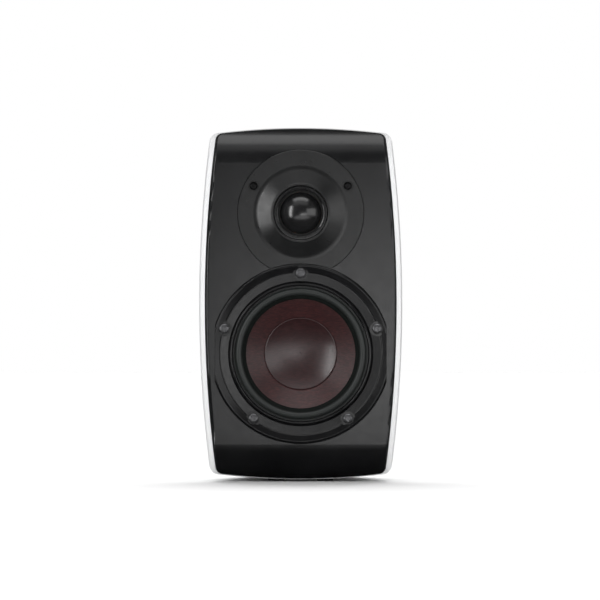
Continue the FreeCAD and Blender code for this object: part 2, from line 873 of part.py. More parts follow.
def port_tube():
    back = d.cabinet_depth
    front = back - d.port_length
    bore = d.port_radius
    body = turned(
        [
            (bore + 1.2, front),
            Through(bore + 0.35, front + 0.35),
            (bore, front + 1.2),
            (bore, back - 9),
            Through(bore + 1.8, back - 2.9),
            (bore + 6.5, back),
            (24.0, back),
            (24.0, back - 1.6),
            (19.3, back - 1.6),
            (19.3, back - 6.5),
            (bore + 2.2, back - 9.5),
            (bore + 2.2, front),
        ]
    )
    node("port_tube", place(body, 0, 0, d.port_height))


# ---------------------------------------------------------------- woofer


def woofer_screw_spots():
    """Screws round the flange, the first one straight up."""
    return [
        (d.screw_circle_radius * sine(72.0 * k), d.screw_circle_radius * cosine(72.0 * k))
        for k in range(int(d.screw_count.value))
    ]


def woofer_basket():
    body = new_body()
    back = d.flange_thickness
    add_turned(
        body,
        [
            (d.flange_radius, back),
            (d.flange_radius, 1.1),
            Through(d.flange_radius - 0.5, -0.1),
            (d.flange_radius - 1.9, -d.flange_proud),
            (d.recess_radius + 0.9, 0.7),
            Through(d.recess_radius + 0.36, 0.95),
            (d.recess_radius + 0.1, 1.4),
            (d.recess_radius + 0.1, d.recess_depth + 0.8),
            (d.recess_radius - 0.5, d.recess_depth + 0.8),
            (d.recess_radius - 0.5, d.recess_depth),
            (d.lip_radius + 2.4, d.recess_depth + 0.4),
            (d.lip_radius + 1.7, d.recess_depth + 0.9),
            (d.lip_radius + 1.0, d.lip_depth + 0.5),
            Through(d.lip_radius + 0.4, d.lip_depth),
            (d.lip_radius - 0.4, d.lip_depth + 0.2),
            (d.land_radius + 0.1, d.lip_depth + 1.4),
            (d.land_radius, d.land_depth),
            (d.roll_outer + 0.1, d.land_depth),
            (d.roll_outer + 0.1, 8.0),
            (d.basket_radius, 8.0),
            (d.basket_radius, back),
        ],
    )
    lobes = [(x, z, d.lobe_radius) for x, z in woofer_screw_spots()]
    add_slab(body, 0.45, 4.0, circles=lobes)
    bowl = d.bowl_radius
    add_turned(
        body,
        [
            (bowl, d.spider_depth),
            (bowl - 6.5, d.spider_depth),
            (bowl - 6.5, d.bowl_depth - 3),
            (20.0, d.bowl_depth - 3),
            (20.0, d.bowl_depth),
            (bowl, d.bowl_depth),
        ],
    )
    leg_sketch = sketch_in(
        body,
        "YZ_Plane",
        [
            (6.0, d.basket_radius - 3.2),
            (6.0, d.basket_radius - 0.1),
            (10.0, d.basket_radius - 0.1),
            (d.bowl_depth - 0.1, bowl - 0.1),
            (d.bowl_depth - 0.1, bowl - 3),
            (d.spider_depth + 0.1, bowl - 3),
            (11.0, d.basket_radius - 4.4),
        ],
    )
    leg = body.newObject("PartDesign::Pad", "Leg")
    leg.Profile = leg_sketch
    leg.Midplane = True
    bind(leg, Length=9.0)
    body.Tip = leg
    repeat_round(body, [leg], d.screw_count.value)
    holes = [(x, z, 2.2) for x, z in woofer_screw_spots()]
    seats = [(x, z, 4.05) for x, z in woofer_screw_spots()]
    add_slab(body, -2, d.flange_thickness + 1, circles=holes, cut=True)
    add_slab(body, -2, 1.0, circles=seats, cut=True)
    for sign in (1, -1):
        edge, far = d.flange_half_width * sign, (d.flange_radius + 5) * sign
        tall = d.flange_radius
        outline = [(edge, -tall), (far, -tall), (far, tall), (edge, tall)]
        add_slab(body, -3, d.flange_thickness + 1, outline, cut=True)
    node("woofer_basket", place(body, 0, 0, d.woofer_height))


def woofer_gasket():
    body = slab(
        d.flange_thickness,
        d.flange_thickness + 0.6,
        circles=[(0, 0, d.flange_radius - 4.0), (0, 0, d.basket_radius + 2)],
    )
    holes = [(x, z, 2.4) for x, z in woofer_screw_spots()]
    add_slab(body, d.flange_thickness - 1, d.flange_thickness + 2, circles=holes, cut=True)
    node("woofer_gasket", place(body, 0, 0, d.woofer_height))


def woofer_screws():
    screw = socket_screw(3.65, 2.2, 1.9, 13.5, 1.75)
    spots = [(x, 1.0, d.woofer_height + z) for x, z in woofer_screw_spots()]
    node("woofer_screws", group(screw, spots))


def woofer_surround():
    """A half-roll rubber edge, with a flat outer land and an inner foot on the cone."""
    middle = (d.roll_outer + d.roll_inner) / 2
    reach = (d.roll_outer - d.roll_inner) / 2
    thick = d.surround_thickness
    base = d.land_depth - 0.45
    body = turned(
        [
            (d.roll_outer, base),
            Through(middle, base - reach),
            (d.roll_inner, base),
            (d.surround_foot_radius, base + 1.55),
            (d.surround_foot_radius, base + 2.1),
            (d.roll_inner + 0.1, base + 0.35),
            (d.roll_inner + thick, base + 0.2),
            (d.roll_inner + thick, base),
            Through(middle, base - reach + thick),
            (d.roll_outer - thick, base),
            (d.roll_outer - thick, d.land_depth),
            (d.land_radius - 0.1, d.land_depth),
            (d.land_radius - 0.1, base - 0.15),
            (d.roll_outer + 0.2, base - 0.15),
        ]
    )
    node("woofer_surround", place(body, 0, 0, d.woofer_height))


def woofer_cone():
    thick = d.cone_thickness
    body = turned(
        [
            (d.cone_radius, d.cone_edge_depth),
            Through(d.cone_mid_radius, d.cone_mid_depth),
            (d.former_outer, d.cone_neck_depth),
            (d.former_outer, d.cone_neck_depth + 2),
            (d.former_outer + 0.6, d.cone_neck_depth + 2),
            (d.former_outer + 0.6, d.cone_neck_depth + 0.65),
            Through(d.cone_mid_radius + thick * 0.53, d.cone_mid_depth + thick * 0.85),
            (d.cone_radius, d.cone_edge_depth + 0.9),
        ]
    )
    node("woofer_cone", place(body, 0, 0, d.woofer_height))


def dished(radius, rim, dish):
    """Depth at half radius of a spherical dish."""
    ball = (radius * radius + dish * dish) / (dish * 2)
    return rim + dish - ball + root(ball * ball - radius * radius / 4)


def woofer_dust_cap():
    thick = 0.5
    rim, radius = d.cap_rim_depth, d.cap_radius
    body = turned(
        [
            (0, rim + d.cap_dish),
            Through(radius / 2, dished(radius, rim, d.cap_dish)),
            (radius, rim),
            (radius, rim + thick),
            Through(radius / 2, dished(radius, rim + thick, d.cap_dish)),
            (0, rim + thick + d.cap_dish),
        ]
    )
    node("woofer_dust_cap", place(body, 0, 0, d.woofer_height))


def woofer_spider():
    """A corrugated cloth disc from the coil former to the basket's shelf."""
    inner, outer = d.former_outer, d.bowl_radius - 3.1
    thick = 0.5
    waves, first = 5, 16.0
    pitch = (d.bowl_radius.value - 6.5 - first - 0.5) / waves
    level = d.spider_depth - thick
    front, back = [(inner, level)], [(inner, level + thick)]
    for wave in range(waves):
        start = first + wave * pitch
        rise = -0.85 if wave % 2 == 0 else 0.85
        for points, depth in ((front, level), (back, level + thick)):
            points.append((start, depth))
            points.append(Through(start + pitch / 2, depth + rise))
    end = first + waves * pitch
    front += [(end, level), (outer, level)]
    back += [(end, level + thick), (outer, level + thick)]
    node("woofer_spider", place(turned(front + back[::-1]), 0, 0, d.woofer_height))


def woofer_motor():
    plate = d.bowl_depth
    magnet = plate + d.plate_thickness
    yoke = magnet + d.magnet_height
    z = d.woofer_height
    node("woofer_coil_former", place(tube(d.former_inner, d.former_outer, 21.3, 45.0), 0, 0, z))
    node("woofer_voice_coil", place(tube(d.former_outer, d.winding_outer, 28.5, 39.5), 0, 0, z))
    node("woofer_top_plate", place(tube(13.9, d.magnet_radius - 1, plate, magnet), 0, 0, z))
    node("woofer_magnet", place(tube(18.0, d.magnet_radius, magnet, yoke), 0, 0, z))
    pole = turned(
        [
            (0, plate - 1.5),
            (11.6, plate - 1.5),
            (12.2, plate - 0.9),
            (12.2, yoke),
            (d.magnet_radius - 1, yoke),
            (d.magnet_radius - 1, yoke + d.yoke_thickness - 1),
            (d.magnet_radius - 2, yoke + d.yoke_thickness),
            (0, yoke + d.yoke_thickness),
        ]
    )
    node("woofer_pole_piece", place(pole, 0, 0, z))


def woofer_terminals():
    """A fibre strip with two solder tags under the basket's bowl, between two legs."""
    strip = slab(22.0, 33.0, box_outline(8.0, 0.9))
    place(strip, 0, 0, d.woofer_height - d.bowl_radius - 0.9)
    tags = []
    for sign in (1, -1):
        tag = slab(26.0, 38.0, box_outline(2.4, 0.4))
        tags.append(place(tag, 4.6 * sign, 0, d.woofer_height - d.bowl_radius - 2.2))
    node("woofer_terminal_strip", strip)
    node("woofer_terminal_tags", compound_of(tags))


def compound_of(shapes):
    compound = doc.addObject("Part::Compound", "Group")
    compound.Links = list(shapes)
    return compound


# ---------------------------------------------------------------- tweeter


def tweeter_screw_spots():
    radius, angle = d.tweeter_screw_radius, d.tweeter_screw_angle
    return [(radius * sine(angle) * sign, radius * cosine(angle)) for sign in (-1, 1)]


def tweeter_faceplate():
    """A round plate with a raised collar round the dome, and an arc cut away for the woofer's flange."""
    foot, crest, tall = d.collar_foot_radius, d.collar_crest_radius, d.collar_height
    slope = tall / (foot - crest)
    body = turned(
        [
            (d.faceplate_radius, d.faceplate_thickness),
            (d.faceplate_radius, 0.3),
            (d.faceplate_radius - 0.3, 0),
            (foot + 1.4, 0),
            Through(foot + 0.1, slope * -0.35),
            (foot - 1.6, slope * -1.6),
            (crest + 1.2, -tall + slope * 1.0),
            Through(crest + 0.2, -tall + 0.05),
            (crest - 0.9, -tall + 0.75),
            (crest - 1.0, 2.0),
            (16.3, 2.0),
            (16.3, 6.0),
            (34.5, 6.0),
            (34.5, d.faceplate_thickness),
        ]
    )
    drop = d.woofer_height - d.tweeter_height
    add_slab(body, -2, 6.5, circles=[(0, drop, d.woofer_notch_radius)], cut=True)
    holes = [(x, z, 1.7) for x, z in tweeter_screw_spots()]
    add_slab(body, -2, 5, circles=holes, cut=True)
    seats = [(x, z, 3.2) for x, z in tweeter_screw_spots()]
    add_slab(body, -2, d.tweeter_seat_depth, circles=seats, cut=True)
    mouths = [(x, z, 4.15) for x, z in tweeter_screw_spots()]
    add_slab(body, -2, 1.6, circles=mouths, cut=True)
    node("tweeter_faceplate", place(body, 0, 0, d.tweeter_height))


def tweeter_gasket():
    near = d.faceplate_thickness
    body = tube(35.6, 43.5, near, near + 0.5)
    drop = d.woofer_height - d.tweeter_height
    add_slab(body, near - 1, near + 1, circles=[(0, drop, d.woofer_notch_radius)], cut=True)
    holes = [(x, z, 1.7) for x, z in tweeter_screw_spots()]
    add_slab(body, near - 1, near + 1, circles=holes, cut=True)
    node("tweeter_gasket", place(body, 0, 0, d.tweeter_height))


def tweeter_trim_ring():
    body = turned(
        [
            (19.2, 1.5),
            (19.2, -3.1),
            (18.8, -3.6),
            (18.1, -3.6),
            (17.7, -2.3),
            (17.2, -2.3),
            (16.9, -2.9),
            (16.5, -2.7),
            (16.4, 1.5),
        ]
    )
    node("tweeter_trim_ring", place(body, 0, 0, d.tweeter_height))


def tweeter_screws():
    screw = socket_screw(2.8, 1.7, 1.5, 9.0, 1.45)
    spots = [(x, d.tweeter_seat_depth, d.tweeter_height + z) for x, z in tweeter_screw_spots()]
    node("tweeter_screws", group(screw, spots))


def tweeter_dome():
    radius, base = d.dome_radius, d.dome_base_depth
    rise = base + d.dome_proud
    thick = 0.35
    body = turned(
        [
            (0, -d.dome_proud),
            Through(radius / 2, base - dished(radius, 0, rise)),
            (radius, base),
            (radius - thick, base),
            Through((radius - thick) / 2, base - dished(radius - thick, 0, rise - thick)),
            (0, -d.dome_proud + thick),
        ]
    )
    node("tweeter_dome", place(body, 0, 0, d.tweeter_height))


def tweeter_surround():
    """The dome's soft roll, its outer flange clamped under the trim ring."""
    inner, outer = d.dome_radius, 16.4
    level = d.dome_base_depth + 0.3
    thick = 0.3
    middle = (inner + outer) / 2
    body = turned(
        [
            (inner, level),
            Through(middle, level - 0.6),
            (outer, level),
            (19.0, level),
            (19.0, 2.0),
            (outer, 2.0),
            (outer - thick, level + thick),
            Through(middle, level - 0.6 + thick),
            (inner + thick, level + thick),
            (inner, level + thick),
        ]
    )
    node("tweeter_surround", place(body, 0, 0, d.tweeter_height))


def tweeter_motor():
    z = d.tweeter_height
    radius = d.dome_radius
    former = tube(radius - 0.2, radius - 0.05, d.dome_base_depth, 9.6)
    winding = tube(radius - 0.05, radius + 0.3, 5.6, 9.2)
    node("tweeter_coil_former", place(former, 0, 0, z))
    node("tweeter_voice_coil", place(winding, 0, 0, z))
    node("tweeter_top_plate", place(tube(radius + 0.7, 32.0, 6.0, 9.0), 0, 0, z))
    node("tweeter_magnet", place(tube(19.0, 33.0, 9.0, 19.0), 0, 0, z))
    pole = turned(
        [
            (5.0, 6.2),
            (radius - 1.1, 6.2),
            (radius - 0.65, 6.7),
            (radius - 0.65, 19.0),
            (32.0, 19.0),
            (32.0, 22.0),
            (5.0, 22.0),
        ]
    )
    node("tweeter_pole_piece", place(pole, 0, 0, z))
    chamber = turned(
        [
            (22.0, 22.0),
            (20.5, 22.0),
            (20.5, 34.5),
            (0, 34.5),
            (0, 36.0),
            (20.8, 36.0),
            Through(21.65, 35.65),
            (22.0, 34.8),
        ]
    )
    node("tweeter_rear_chamber", place(chamber, 0, 0, z))
    node("tweeter_felt", place(tube(4.0, 20.0, 26.0, 34.5), 0, 0, z))
    tags = [place(slab(6.0, 18.0, box_outline(1.6, 0.3)), 5.0 * sign, 0, z - 33.6) for sign in (1, -1)]
    node("tweeter_terminals", compound_of(tags))


# ---------------------------------------------------------------- terminals


def cup_screw_spots():
    return [(36.8 * sx, 22.8 * sz) for sx in (-1, 1) for sz in (-1, 1)]


def terminal_cup():
    back = d.cabinet_depth
    inner = back - d.cup_depth
    body = slab(
        back - d.cup_flange_thickness,
        back,
        rounded_outline(d.cup_flange_half_width, d.cup_flange_half_height, 8.7),
    )
    add_slab(body, inner, back - 1, rounded_outline(d.cup_half_width, d.cup_half_height, 3.6))
    well = rounded_outline(d.cup_half_width - d.cup_wall, d.cup_half_height - d.cup_wall, 1.6)
    add_slab(body, inner + d.cup_wall, back + 1, well, cut=True)
    studs = [(d.post_half_span * sign, 0, d.post_radius + 0.1) for sign in (-1, 1)]
    add_slab(body, inner - 1, inner + d.cup_wall + 1, circles=studs, cut=True)
    holes = [(x, z, 1.6) for x, z in cup_screw_spots()]
    add_slab(body, back - 4, back + 1, circles=holes, cut=True)
    sinks = [(x, z, 3.2) for x, z in cup_screw_spots()]
    add_slab(body, back - 1.4, back + 1, circles=sinks, cut=True)
    spacers = [(x, z, 1.1) for x, z in spacer_spots()]
    add_slab(body, inner - 1, inner + 1.2, circles=spacers, cut=True)
    node("terminal_cup", place(body, 0, 0, d.cup_height))


def cup_screws():
    screw = turned(
        [
            (0, 0),
            (2.9, 0),
            (2.9, -1.1),
            (1.25, -1.3),
            (1.25, -8.0),
            (0, -9.0),
        ]
    )
    cross = [(-1.6, -0.3), (1.6, -0.3), (1.6, 0.3), (-1.6, 0.3)]
    add_slab(screw, -0.7, 1, cross, cut=True)
    upright = [(-0.3, -1.6), (0.3, -1.6), (0.3, 1.6), (-0.3, 1.6)]
    add_slab(screw, -0.7, 1, upright, cut=True)
    spots = [(x, d.cabinet_depth - 0.1, d.cup_height + z) for x, z in cup_screw_spots()]
    node("cup_screws", group(screw, spots))


def binding_post(colour, sign):
    """A brass stud with a plug socket, a nut and tag behind the cup, a loose washer, and a screwed knob."""
    x = d.post_half_span * sign
    floor = d.cabinet_depth - d.cup_depth + d.cup_wall
    behind = floor - d.cup_wall
    tip = d.cabinet_depth - 2.5
    stud = turned(
        [
            (0, behind - 6),
            (d.post_radius, behind - 6),
            (d.post_radius, floor),
            (6.6, floor),
            (6.6, floor + 1.2),
            (d.post_radius, floor + 1.2),
            (d.post_radius, tip - 0.4),
            (d.post_radius - 0.4, tip),
            (d.socket_radius, tip),
            (d.socket_radius, tip - d.socket_length),
            (0, tip - d.socket_length),
        ]
    )
    node(f"{colour}_post_stud", place(stud, x, 0, d.cup_height))
    washer = tube(3.1, 6.2, floor + 1.25, floor + 2.05)
    node(f"{colour}_post_washer", place(washer, x, 0, d.cup_height))
    low, top = floor + 2.05, tip - 0.9
    core = turned(
        [
            (3.08, low),
            (5.6, low),
            (5.6, low + 0.6),
            (4.6, low + 0.6),
            (4.6, top - 3.4),
            (3.08, top - 3.4),
        ]
    )
    node(f"{colour}_post_core", place(core, x, 0, d.cup_height))
    sleeve = turned(
        [
            (4.6, low + 0.6),
            (d.knob_radius - 0.5, low + 0.6),
            (d.knob_radius, low + 1.1),
            (d.knob_radius, top - 0.8),
            (d.knob_radius - 0.8, top),
            (3.5, top),
            (3.5, top - 3.4),
            (4.6, top - 3.4),
        ]
    )
    groove = add_slab(
        sleeve, low + 1.8, top + 1, circles=[(0, d.knob_radius + 0.35, 0.9)], cut=True
    )
    repeat_round(sleeve, [groove], 12)
    node(f"{colour}_post_knob", place(sleeve, x, 0, d.cup_height))


def post_fixings():
    """Hex nuts and solder tags on the studs, inside the cabinet."""
    behind = d.cabinet_depth - d.cup_depth
    nuts, tags = [], []
    hexagon = [
        (5.6 * math.cos(math.radians(60 * k)), 5.6 * math.sin(math.radians(60 * k))) for k in range(6)
    ]
    for sign in (-1, 1):
        spot = (d.post_half_span * sign, 0, d.cup_height)
        tag = slab(behind - 0.8, behind, [(-3, -13), (3, -13), (4.6, 0), (4.6, 4.6), (-4.6, 4.6), (-4.6, 0)])
        add_slab(tag, behind - 2, behind + 1, circles=[(0, 0, d.post_radius + 0.1)], cut=True)
        tags.append(place(tag, *spot))
        nut = slab(behind - 3.8, behind - 0.8, hexagon)
        add_slab(nut, behind - 5, behind, circles=[(0, 0, d.post_radius + 0.05)], cut=True)
        nuts.append(place(nut, *spot))
    node("post_nuts", compound_of(nuts))
    node("post_solder_tags", compound_of(tags))


# ---------------------------------------------------------------- crossover, wiring and wadding


def spacer_spots():
    return [(29.0 * sx, 16.0 * sz) for sx in (-1, 1) for sz in (-1, 1)]


def crossover():
    near, thick = d.board_depth, d.board_thickness
    z = d.cup_height
    board = slab(near, near + thick, box_outline(38.0, 27.0))
    holes = [(x, z_spot, 1.2) for x, z_spot in spacer_spots()]
    add_slab(board, near - 1, near + thick + 1, circles=holes, cut=True)
    node("crossover_board", place(board, 0, 0, z))
    spacer = tube(1.15, 2.6, near + thick, d.cabinet_depth - d.cup_depth)
    node("board_spacers", group(spacer, [(x, 0, z + z_spot) for x, z_spot in spacer_spots()]))
    screw = turned([(0, -1.8), (2.1, -1.8), (2.4, -0.6), (2.4, 0), (1.05, 0), (1.05, 11.9), (0, 11.9)])
    node("board_screws", group(screw, [(x, near, z + z_spot) for x, z_spot in spacer_spots()]))
    big = tube(6.0, 14.0, near - 12, near)
    small = tube(4.0, 8.5, near - 9, near)
    node("crossover_coils", compound_of([place(big, -6.0, 0, z + 10), place(small, -12.0, 0, z - 14)]))
    caps = []
    for radius, length, x, drop in ((6.5, 25.0, 10.0, -6.6), (5.0, 21.0, 10.0, 5.4)):
        cap = doc.addObject("Part::Cylinder", "Capacitor")
        bind(cap, Radius=radius, Height=length)
        cap.Placement.Rotation = Rotation(Vector(0, 1, 0), 90)
        caps.append(place(cap, x, near - radius, z + drop))
    node("crossover_capacitors", compound_of(caps))
    resistor = doc.addObject("Part::Box", "Resistor")
    bind(resistor, Length=22.0, Width=8.0, Height=8.0)
    node("crossover_resistor", place(resistor, 1.0, near - 8, z - 23))


def lead_path(points):
    """Straight runs joined by tangent arcs, each as large as its two runs allow."""
    places = [Vector(x, FACE_Y.value + depth, z) for x, depth, z in points]
    edges, last = [], places[0]
    for before, corner, after in zip(places, places[1:], places[2:]):
        back, ahead = (before - corner), (after - corner)
        reach = 0.45 * min(back.Length, ahead.Length)
        start = corner + back.normalize() * reach
        stop = corner + ahead.normalize() * reach
        half = back.getAngle(ahead) / 2
        radius = reach * math.tan(half)
        inward = (back + ahead).normalize()
        hub = corner + inward * (reach / math.cos(half))
        edges.append(Part.LineSegment(last, start).toShape())
        edges.append(Part.Arc(start, hub - inward * radius, stop).toShape())
        last = stop
    edges.append(Part.LineSegment(last, places[-1]).toShape())
    return Part.Wire(edges)


def leads(label, routes, radius):
    """Round leads along fixed routes inside the cabinet."""
    tubes = []
    for points in routes:
        path = lead_path(points)
        start = path.Edges[0]
        ring = Part.Circle(start.valueAt(start.FirstParameter), start.tangentAt(start.FirstParameter), radius)
        lead = path.makePipeShell([Part.Wire([ring.toShape()])], True, False)
        expected = math.pi * radius**2 * path.Length
        if abs(lead.Volume - expected) > 0.02 * expected:
            raise RuntimeError(f"{label}: a lead's volume is off")
        tubes.append(lead)
    thing = doc.addObject("Part::Feature", "Leads")
    thing.Shape = Part.makeCompound(tubes)
    node(label, thing)


def wiring():
    radius = d.lead_radius.value
    board, thick = d.board_depth.value, d.board_thickness.value
    cup, woofer, tweeter = d.cup_height.value, d.woofer_height.value, d.tweeter_height.value
    tag = d.cabinet_depth.value - d.cup_depth.value - 0.8
    span = d.post_half_span.value
    leads(
        "input_leads",
        [
            [
                (span * s, tag - radius, cup - 10.5),
                (span * s, tag - radius, cup - 22.5),
                (span * s, board + thick, cup - 22.5),
            ]
            for s in (1, -1)
        ],
        radius,
    )
    low = woofer - d.bowl_radius.value - 2.6 - radius
    leads(
        "woofer_leads",
        [
            [
                (4.6 * s - 8, board, cup - 25.0),
                (4.6 * s - 8, board - 16, cup - 25.0),
                (4.6 * s - 4, board - 30, low - 6),
                (4.6 * s, 48, low - 4),
                (4.6 * s, 37, low),
                (4.6 * s, 30, low),
            ]
            for s in (1, -1)
        ],
        radius,
    )
    leads(
        "tweeter_leads",
        [
            [
                (5 * s + 2, board, cup + 25.6),
                (5 * s + 2, board - 12, cup + 25.6),
                (5 * s + 2, board - 20, cup + 42.0),
                (5 * s + 1, board - 26, cup + 62.0),
                (5 * s, board - 44, tweeter - 48.0),
                (5 * s, 28, tweeter - 33.9 - radius),
                (5 * s, 13, tweeter - 33.9 - radius),
            ]
            for s in (1, -1)
        ],
        radius,
    )


def tinsel_leads():
    """Braided flexible leads from the terminal strip to the back of the cone."""
    woofer = d.woofer_height.value
    leads(
        "woofer_tinsel_leads",
        [
            [
                (4.6 * s, 23.0, woofer - d.bowl_radius.value + 0.1),
                (4.6 * s, 22.6, woofer - 34.0),
                (4.6 * s, 18.4, woofer - 29.0),
                (4.6 * s, 17.7, woofer - 23.0),
            ]
            for s in (1, -1)
        ],
        0.5,
    )


def damping_pads():
    """Fibre wadding glued to both inner side walls."""
    pads = []
    for sign in (-1, 1):
        pad = doc.addObject("PartDesign::Body", "Body")
        add_slab(pad, 38, 92, rounded_outline(5.0, 58.0, 4.0))
        pads.append(place(pad, 53.5 * sign, 0, MID_HEIGHT + 4))
    node("damping_pads", compound_of(pads))


# ---------------------------------------------------------------- build and write


def build():
    cabinet_shell()
    front_baffle()
    baffle_gasket()
    baffle_screws()
    rubber_feet()
    mount_insert()
    port_tube()
    woofer_basket()
    woofer_gasket()
    woofer_screws()
    woofer_surround()
    woofer_cone()
    woofer_dust_cap()
    woofer_spider()
    woofer_motor()
    woofer_terminals()
    tinsel_leads()
    tweeter_faceplate()
    tweeter_gasket()
    tweeter_trim_ring()
    tweeter_screws()
    tweeter_dome()
    tweeter_surround()
    tweeter_motor()
    terminal_cup()
    cup_screws()
    binding_post("red", 1)
    binding_post("black", -1)
    post_fixings()
    crossover()
    wiring()
    damping_pads()


def write():
    doc.recompute()
    for thing in doc.Objects:
        if "Invalid" in thing.State or "Error" in thing.State:
            raise RuntimeError(f"{thing.Name} ({thing.Label}) failed: {thing.State}")
    for label, thing in nodes.items():
        if thing.Shape.isNull() or not thing.Shape.isValid() or not thing.Shape.Solids:
            raise RuntimeError(f"{label} has no valid solid")
    os.makedirs("parts", exist_ok=True)
    for old in os.listdir("parts"):
        os.remove(os.path.join("parts", old))
    for label, thing in nodes.items():
        thing.Shape.exportStep(os.path.join("parts", f"{label}.step"))
        print(f"{label}: {len(thing.Shape.Solids)} solid(s), {thing.Shape.Volume:.0f} mm3")


build()
write()
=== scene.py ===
"""Looks for a compact two-way loudspeaker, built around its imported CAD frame."""

import json
import math

import bmesh
import bpy
import numpy as np
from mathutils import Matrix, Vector, noise


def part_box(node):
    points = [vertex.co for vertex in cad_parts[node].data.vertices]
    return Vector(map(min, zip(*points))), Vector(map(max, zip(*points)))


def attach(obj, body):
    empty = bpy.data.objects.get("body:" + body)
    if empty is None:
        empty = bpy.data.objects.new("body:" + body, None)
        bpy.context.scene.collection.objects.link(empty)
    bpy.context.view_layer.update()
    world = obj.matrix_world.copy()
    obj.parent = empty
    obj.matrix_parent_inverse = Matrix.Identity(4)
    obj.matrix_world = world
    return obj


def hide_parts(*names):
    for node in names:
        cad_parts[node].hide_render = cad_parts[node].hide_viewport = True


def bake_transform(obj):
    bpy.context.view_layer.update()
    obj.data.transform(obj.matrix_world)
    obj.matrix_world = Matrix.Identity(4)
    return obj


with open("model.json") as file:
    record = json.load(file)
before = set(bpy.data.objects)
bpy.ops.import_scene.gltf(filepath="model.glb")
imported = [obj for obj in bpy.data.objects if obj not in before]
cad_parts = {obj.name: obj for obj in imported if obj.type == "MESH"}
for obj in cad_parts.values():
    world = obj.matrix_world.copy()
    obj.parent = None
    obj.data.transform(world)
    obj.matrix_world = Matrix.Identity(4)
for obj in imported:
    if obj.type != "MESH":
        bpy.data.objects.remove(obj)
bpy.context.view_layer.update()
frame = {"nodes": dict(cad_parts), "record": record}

NODES = frame["nodes"]
SLOT_OF = {row["node"]: row["material_slot"] for row in frame["record"]["subparts"]}
MM = 0.001
MATT_ROOM = 0.44  # the room's brightness for matt skins
GLOSS_ROOM = 0.08  # the most that the room shows in reflections, overhead
SUN_STRENGTH = 2.6  # the soft sun that whitens the floor and throws the shadow forwards


# ---------------------------------------------------------------- materials


class Material:
    """A procedural material: a small node tree round one Principled shader."""

    def __init__(self, name, colour, roughness=0.5, metallic=0.0, **sockets):
        self.data = bpy.data.materials.new(name)
        self.data.use_nodes = True
        self.tree = self.data.node_tree
        self.shader = self.tree.nodes["Principled BSDF"]
        self.colour = colour
        self.roughness = roughness
        self.set(metallic=metallic, base_color=(*colour, 1.0), roughness=roughness, **sockets)
        self.coordinates = self.tree.nodes.new("ShaderNodeTexCoord")
        self.last_bump = None

    def set(self, **sockets):
        for key, value in sockets.items():
            wanted = key.replace("_", " ").lower()
            socket = next(s for s in self.shader.inputs if s.name.lower() == wanted)
            socket.default_value = value
        return self

    def link(self, a, b):
        self.tree.links.new(a, b)

    def node(self, kind, **values):
        made = self.tree.nodes.new(f"ShaderNode{kind}")
        for key, value in values.items():
            if hasattr(made, key):
                setattr(made, key, value)
            else:
                made.inputs[key.replace("_", " ").title()].default_value = value
        return made

    def stretched(self, scale=(1, 1, 1), turn=(0, 0, 0), centre=(0, 0, 0)):
        """Object coordinates, moved, turned and stretched."""
        mapping = self.node("Mapping")
        mapping.inputs["Location"].default_value = [-c * s for c, s in zip(centre, scale)]
        mapping.inputs["Rotation"].default_value = turn
        mapping.inputs["Scale"].default_value = scale
        self.link(self.coordinates.outputs["Object"], mapping.inputs["Vector"])
        return mapping.outputs["Vector"]

    def noise(self, scale, detail=3.0, rough=0.55, vector=None):
        made = self.node("TexNoise", scale=scale, detail=detail, roughness=rough)
        self.link(vector or self.coordinates.outputs["Object"], made.inputs["Vector"])
        return made.outputs["Fac"]

    def cells(self, scale, vector=None, feature="F1"):
        made = self.node("TexVoronoi", scale=scale, feature=feature)
        self.link(vector or self.coordinates.outputs["Object"], made.inputs["Vector"])
        return made.outputs["Distance"]

    def ranged(self, factor, low, high, start=0.3, stop=0.7):
        made = self.node("MapRange")
        values = {"From Min": start, "From Max": stop, "To Min": low, "To Max": high}
        for key, value in values.items():
            made.inputs[key].default_value = value
        self.link(factor, made.inputs["Value"])
        return made.outputs["Result"]

    def vary_colour(self, factor, low, high, start=0.3, stop=0.7):
        ramp = self.node("ValToRGB")
        ends = ramp.color_ramp.elements
        ends[0].position, ends[1].position = start, stop
        ends[0].color, ends[1].color = (*low, 1.0), (*high, 1.0)
        self.link(factor, ramp.inputs["Fac"])
        self.link(ramp.outputs["Color"], self.shader.inputs["Base Color"])
        return self

    def vary_roughness(self, factor, low, high, start=0.3, stop=0.7):
        self.link(self.ranged(factor, low, high, start, stop), self.shader.inputs["Roughness"])
        return self

    def bump(self, factor, height, strength=1.0):
        """Adds relief of a given height in metres."""
        made = self.node("Bump")
        made.inputs["Strength"].default_value = strength
        made.inputs["Distance"].default_value = height
        self.link(factor, made.inputs["Height"])
        if self.last_bump:
            self.link(self.last_bump, made.inputs["Normal"])
        self.last_bump = made.outputs["Normal"]
        self.link(self.last_bump, self.shader.inputs["Normal"])
        return self


def shade(colour, factor):
    return tuple(min(1.0, c * factor) for c in colour)


def plain_plastic(name, colour, roughness, grain=0.006, **sockets):
    """Moulded plastic: faint tone drift, a fine spark-eroded grain, uneven gloss."""
    made = Material(name, colour, roughness, **sockets)
    made.vary_colour(made.noise(60, 4), shade(colour, 0.85), shade(colour, 1.15))
    made.vary_roughness(made.noise(240, 4), roughness * 0.88, roughness * 1.12)
    made.bump(made.noise(2600, 2), grain * MM)
    return made.data


def metal(name, colour, roughness, brush=(1, 1, 1), grain=0.003, **sockets):
    """Bare or plated metal with a fine directional grain."""
    made = Material(name, colour, roughness, metallic=1.0, **sockets)
    lines = made.noise(900, 5, vector=made.stretched(brush))
    made.vary_colour(made.noise(120, 4), shade(colour, 0.86), shade(colour, 1.1))
    made.vary_roughness(lines, roughness * 0.75, roughness * 1.3)
    made.bump(lines, grain * MM)
    return made.data


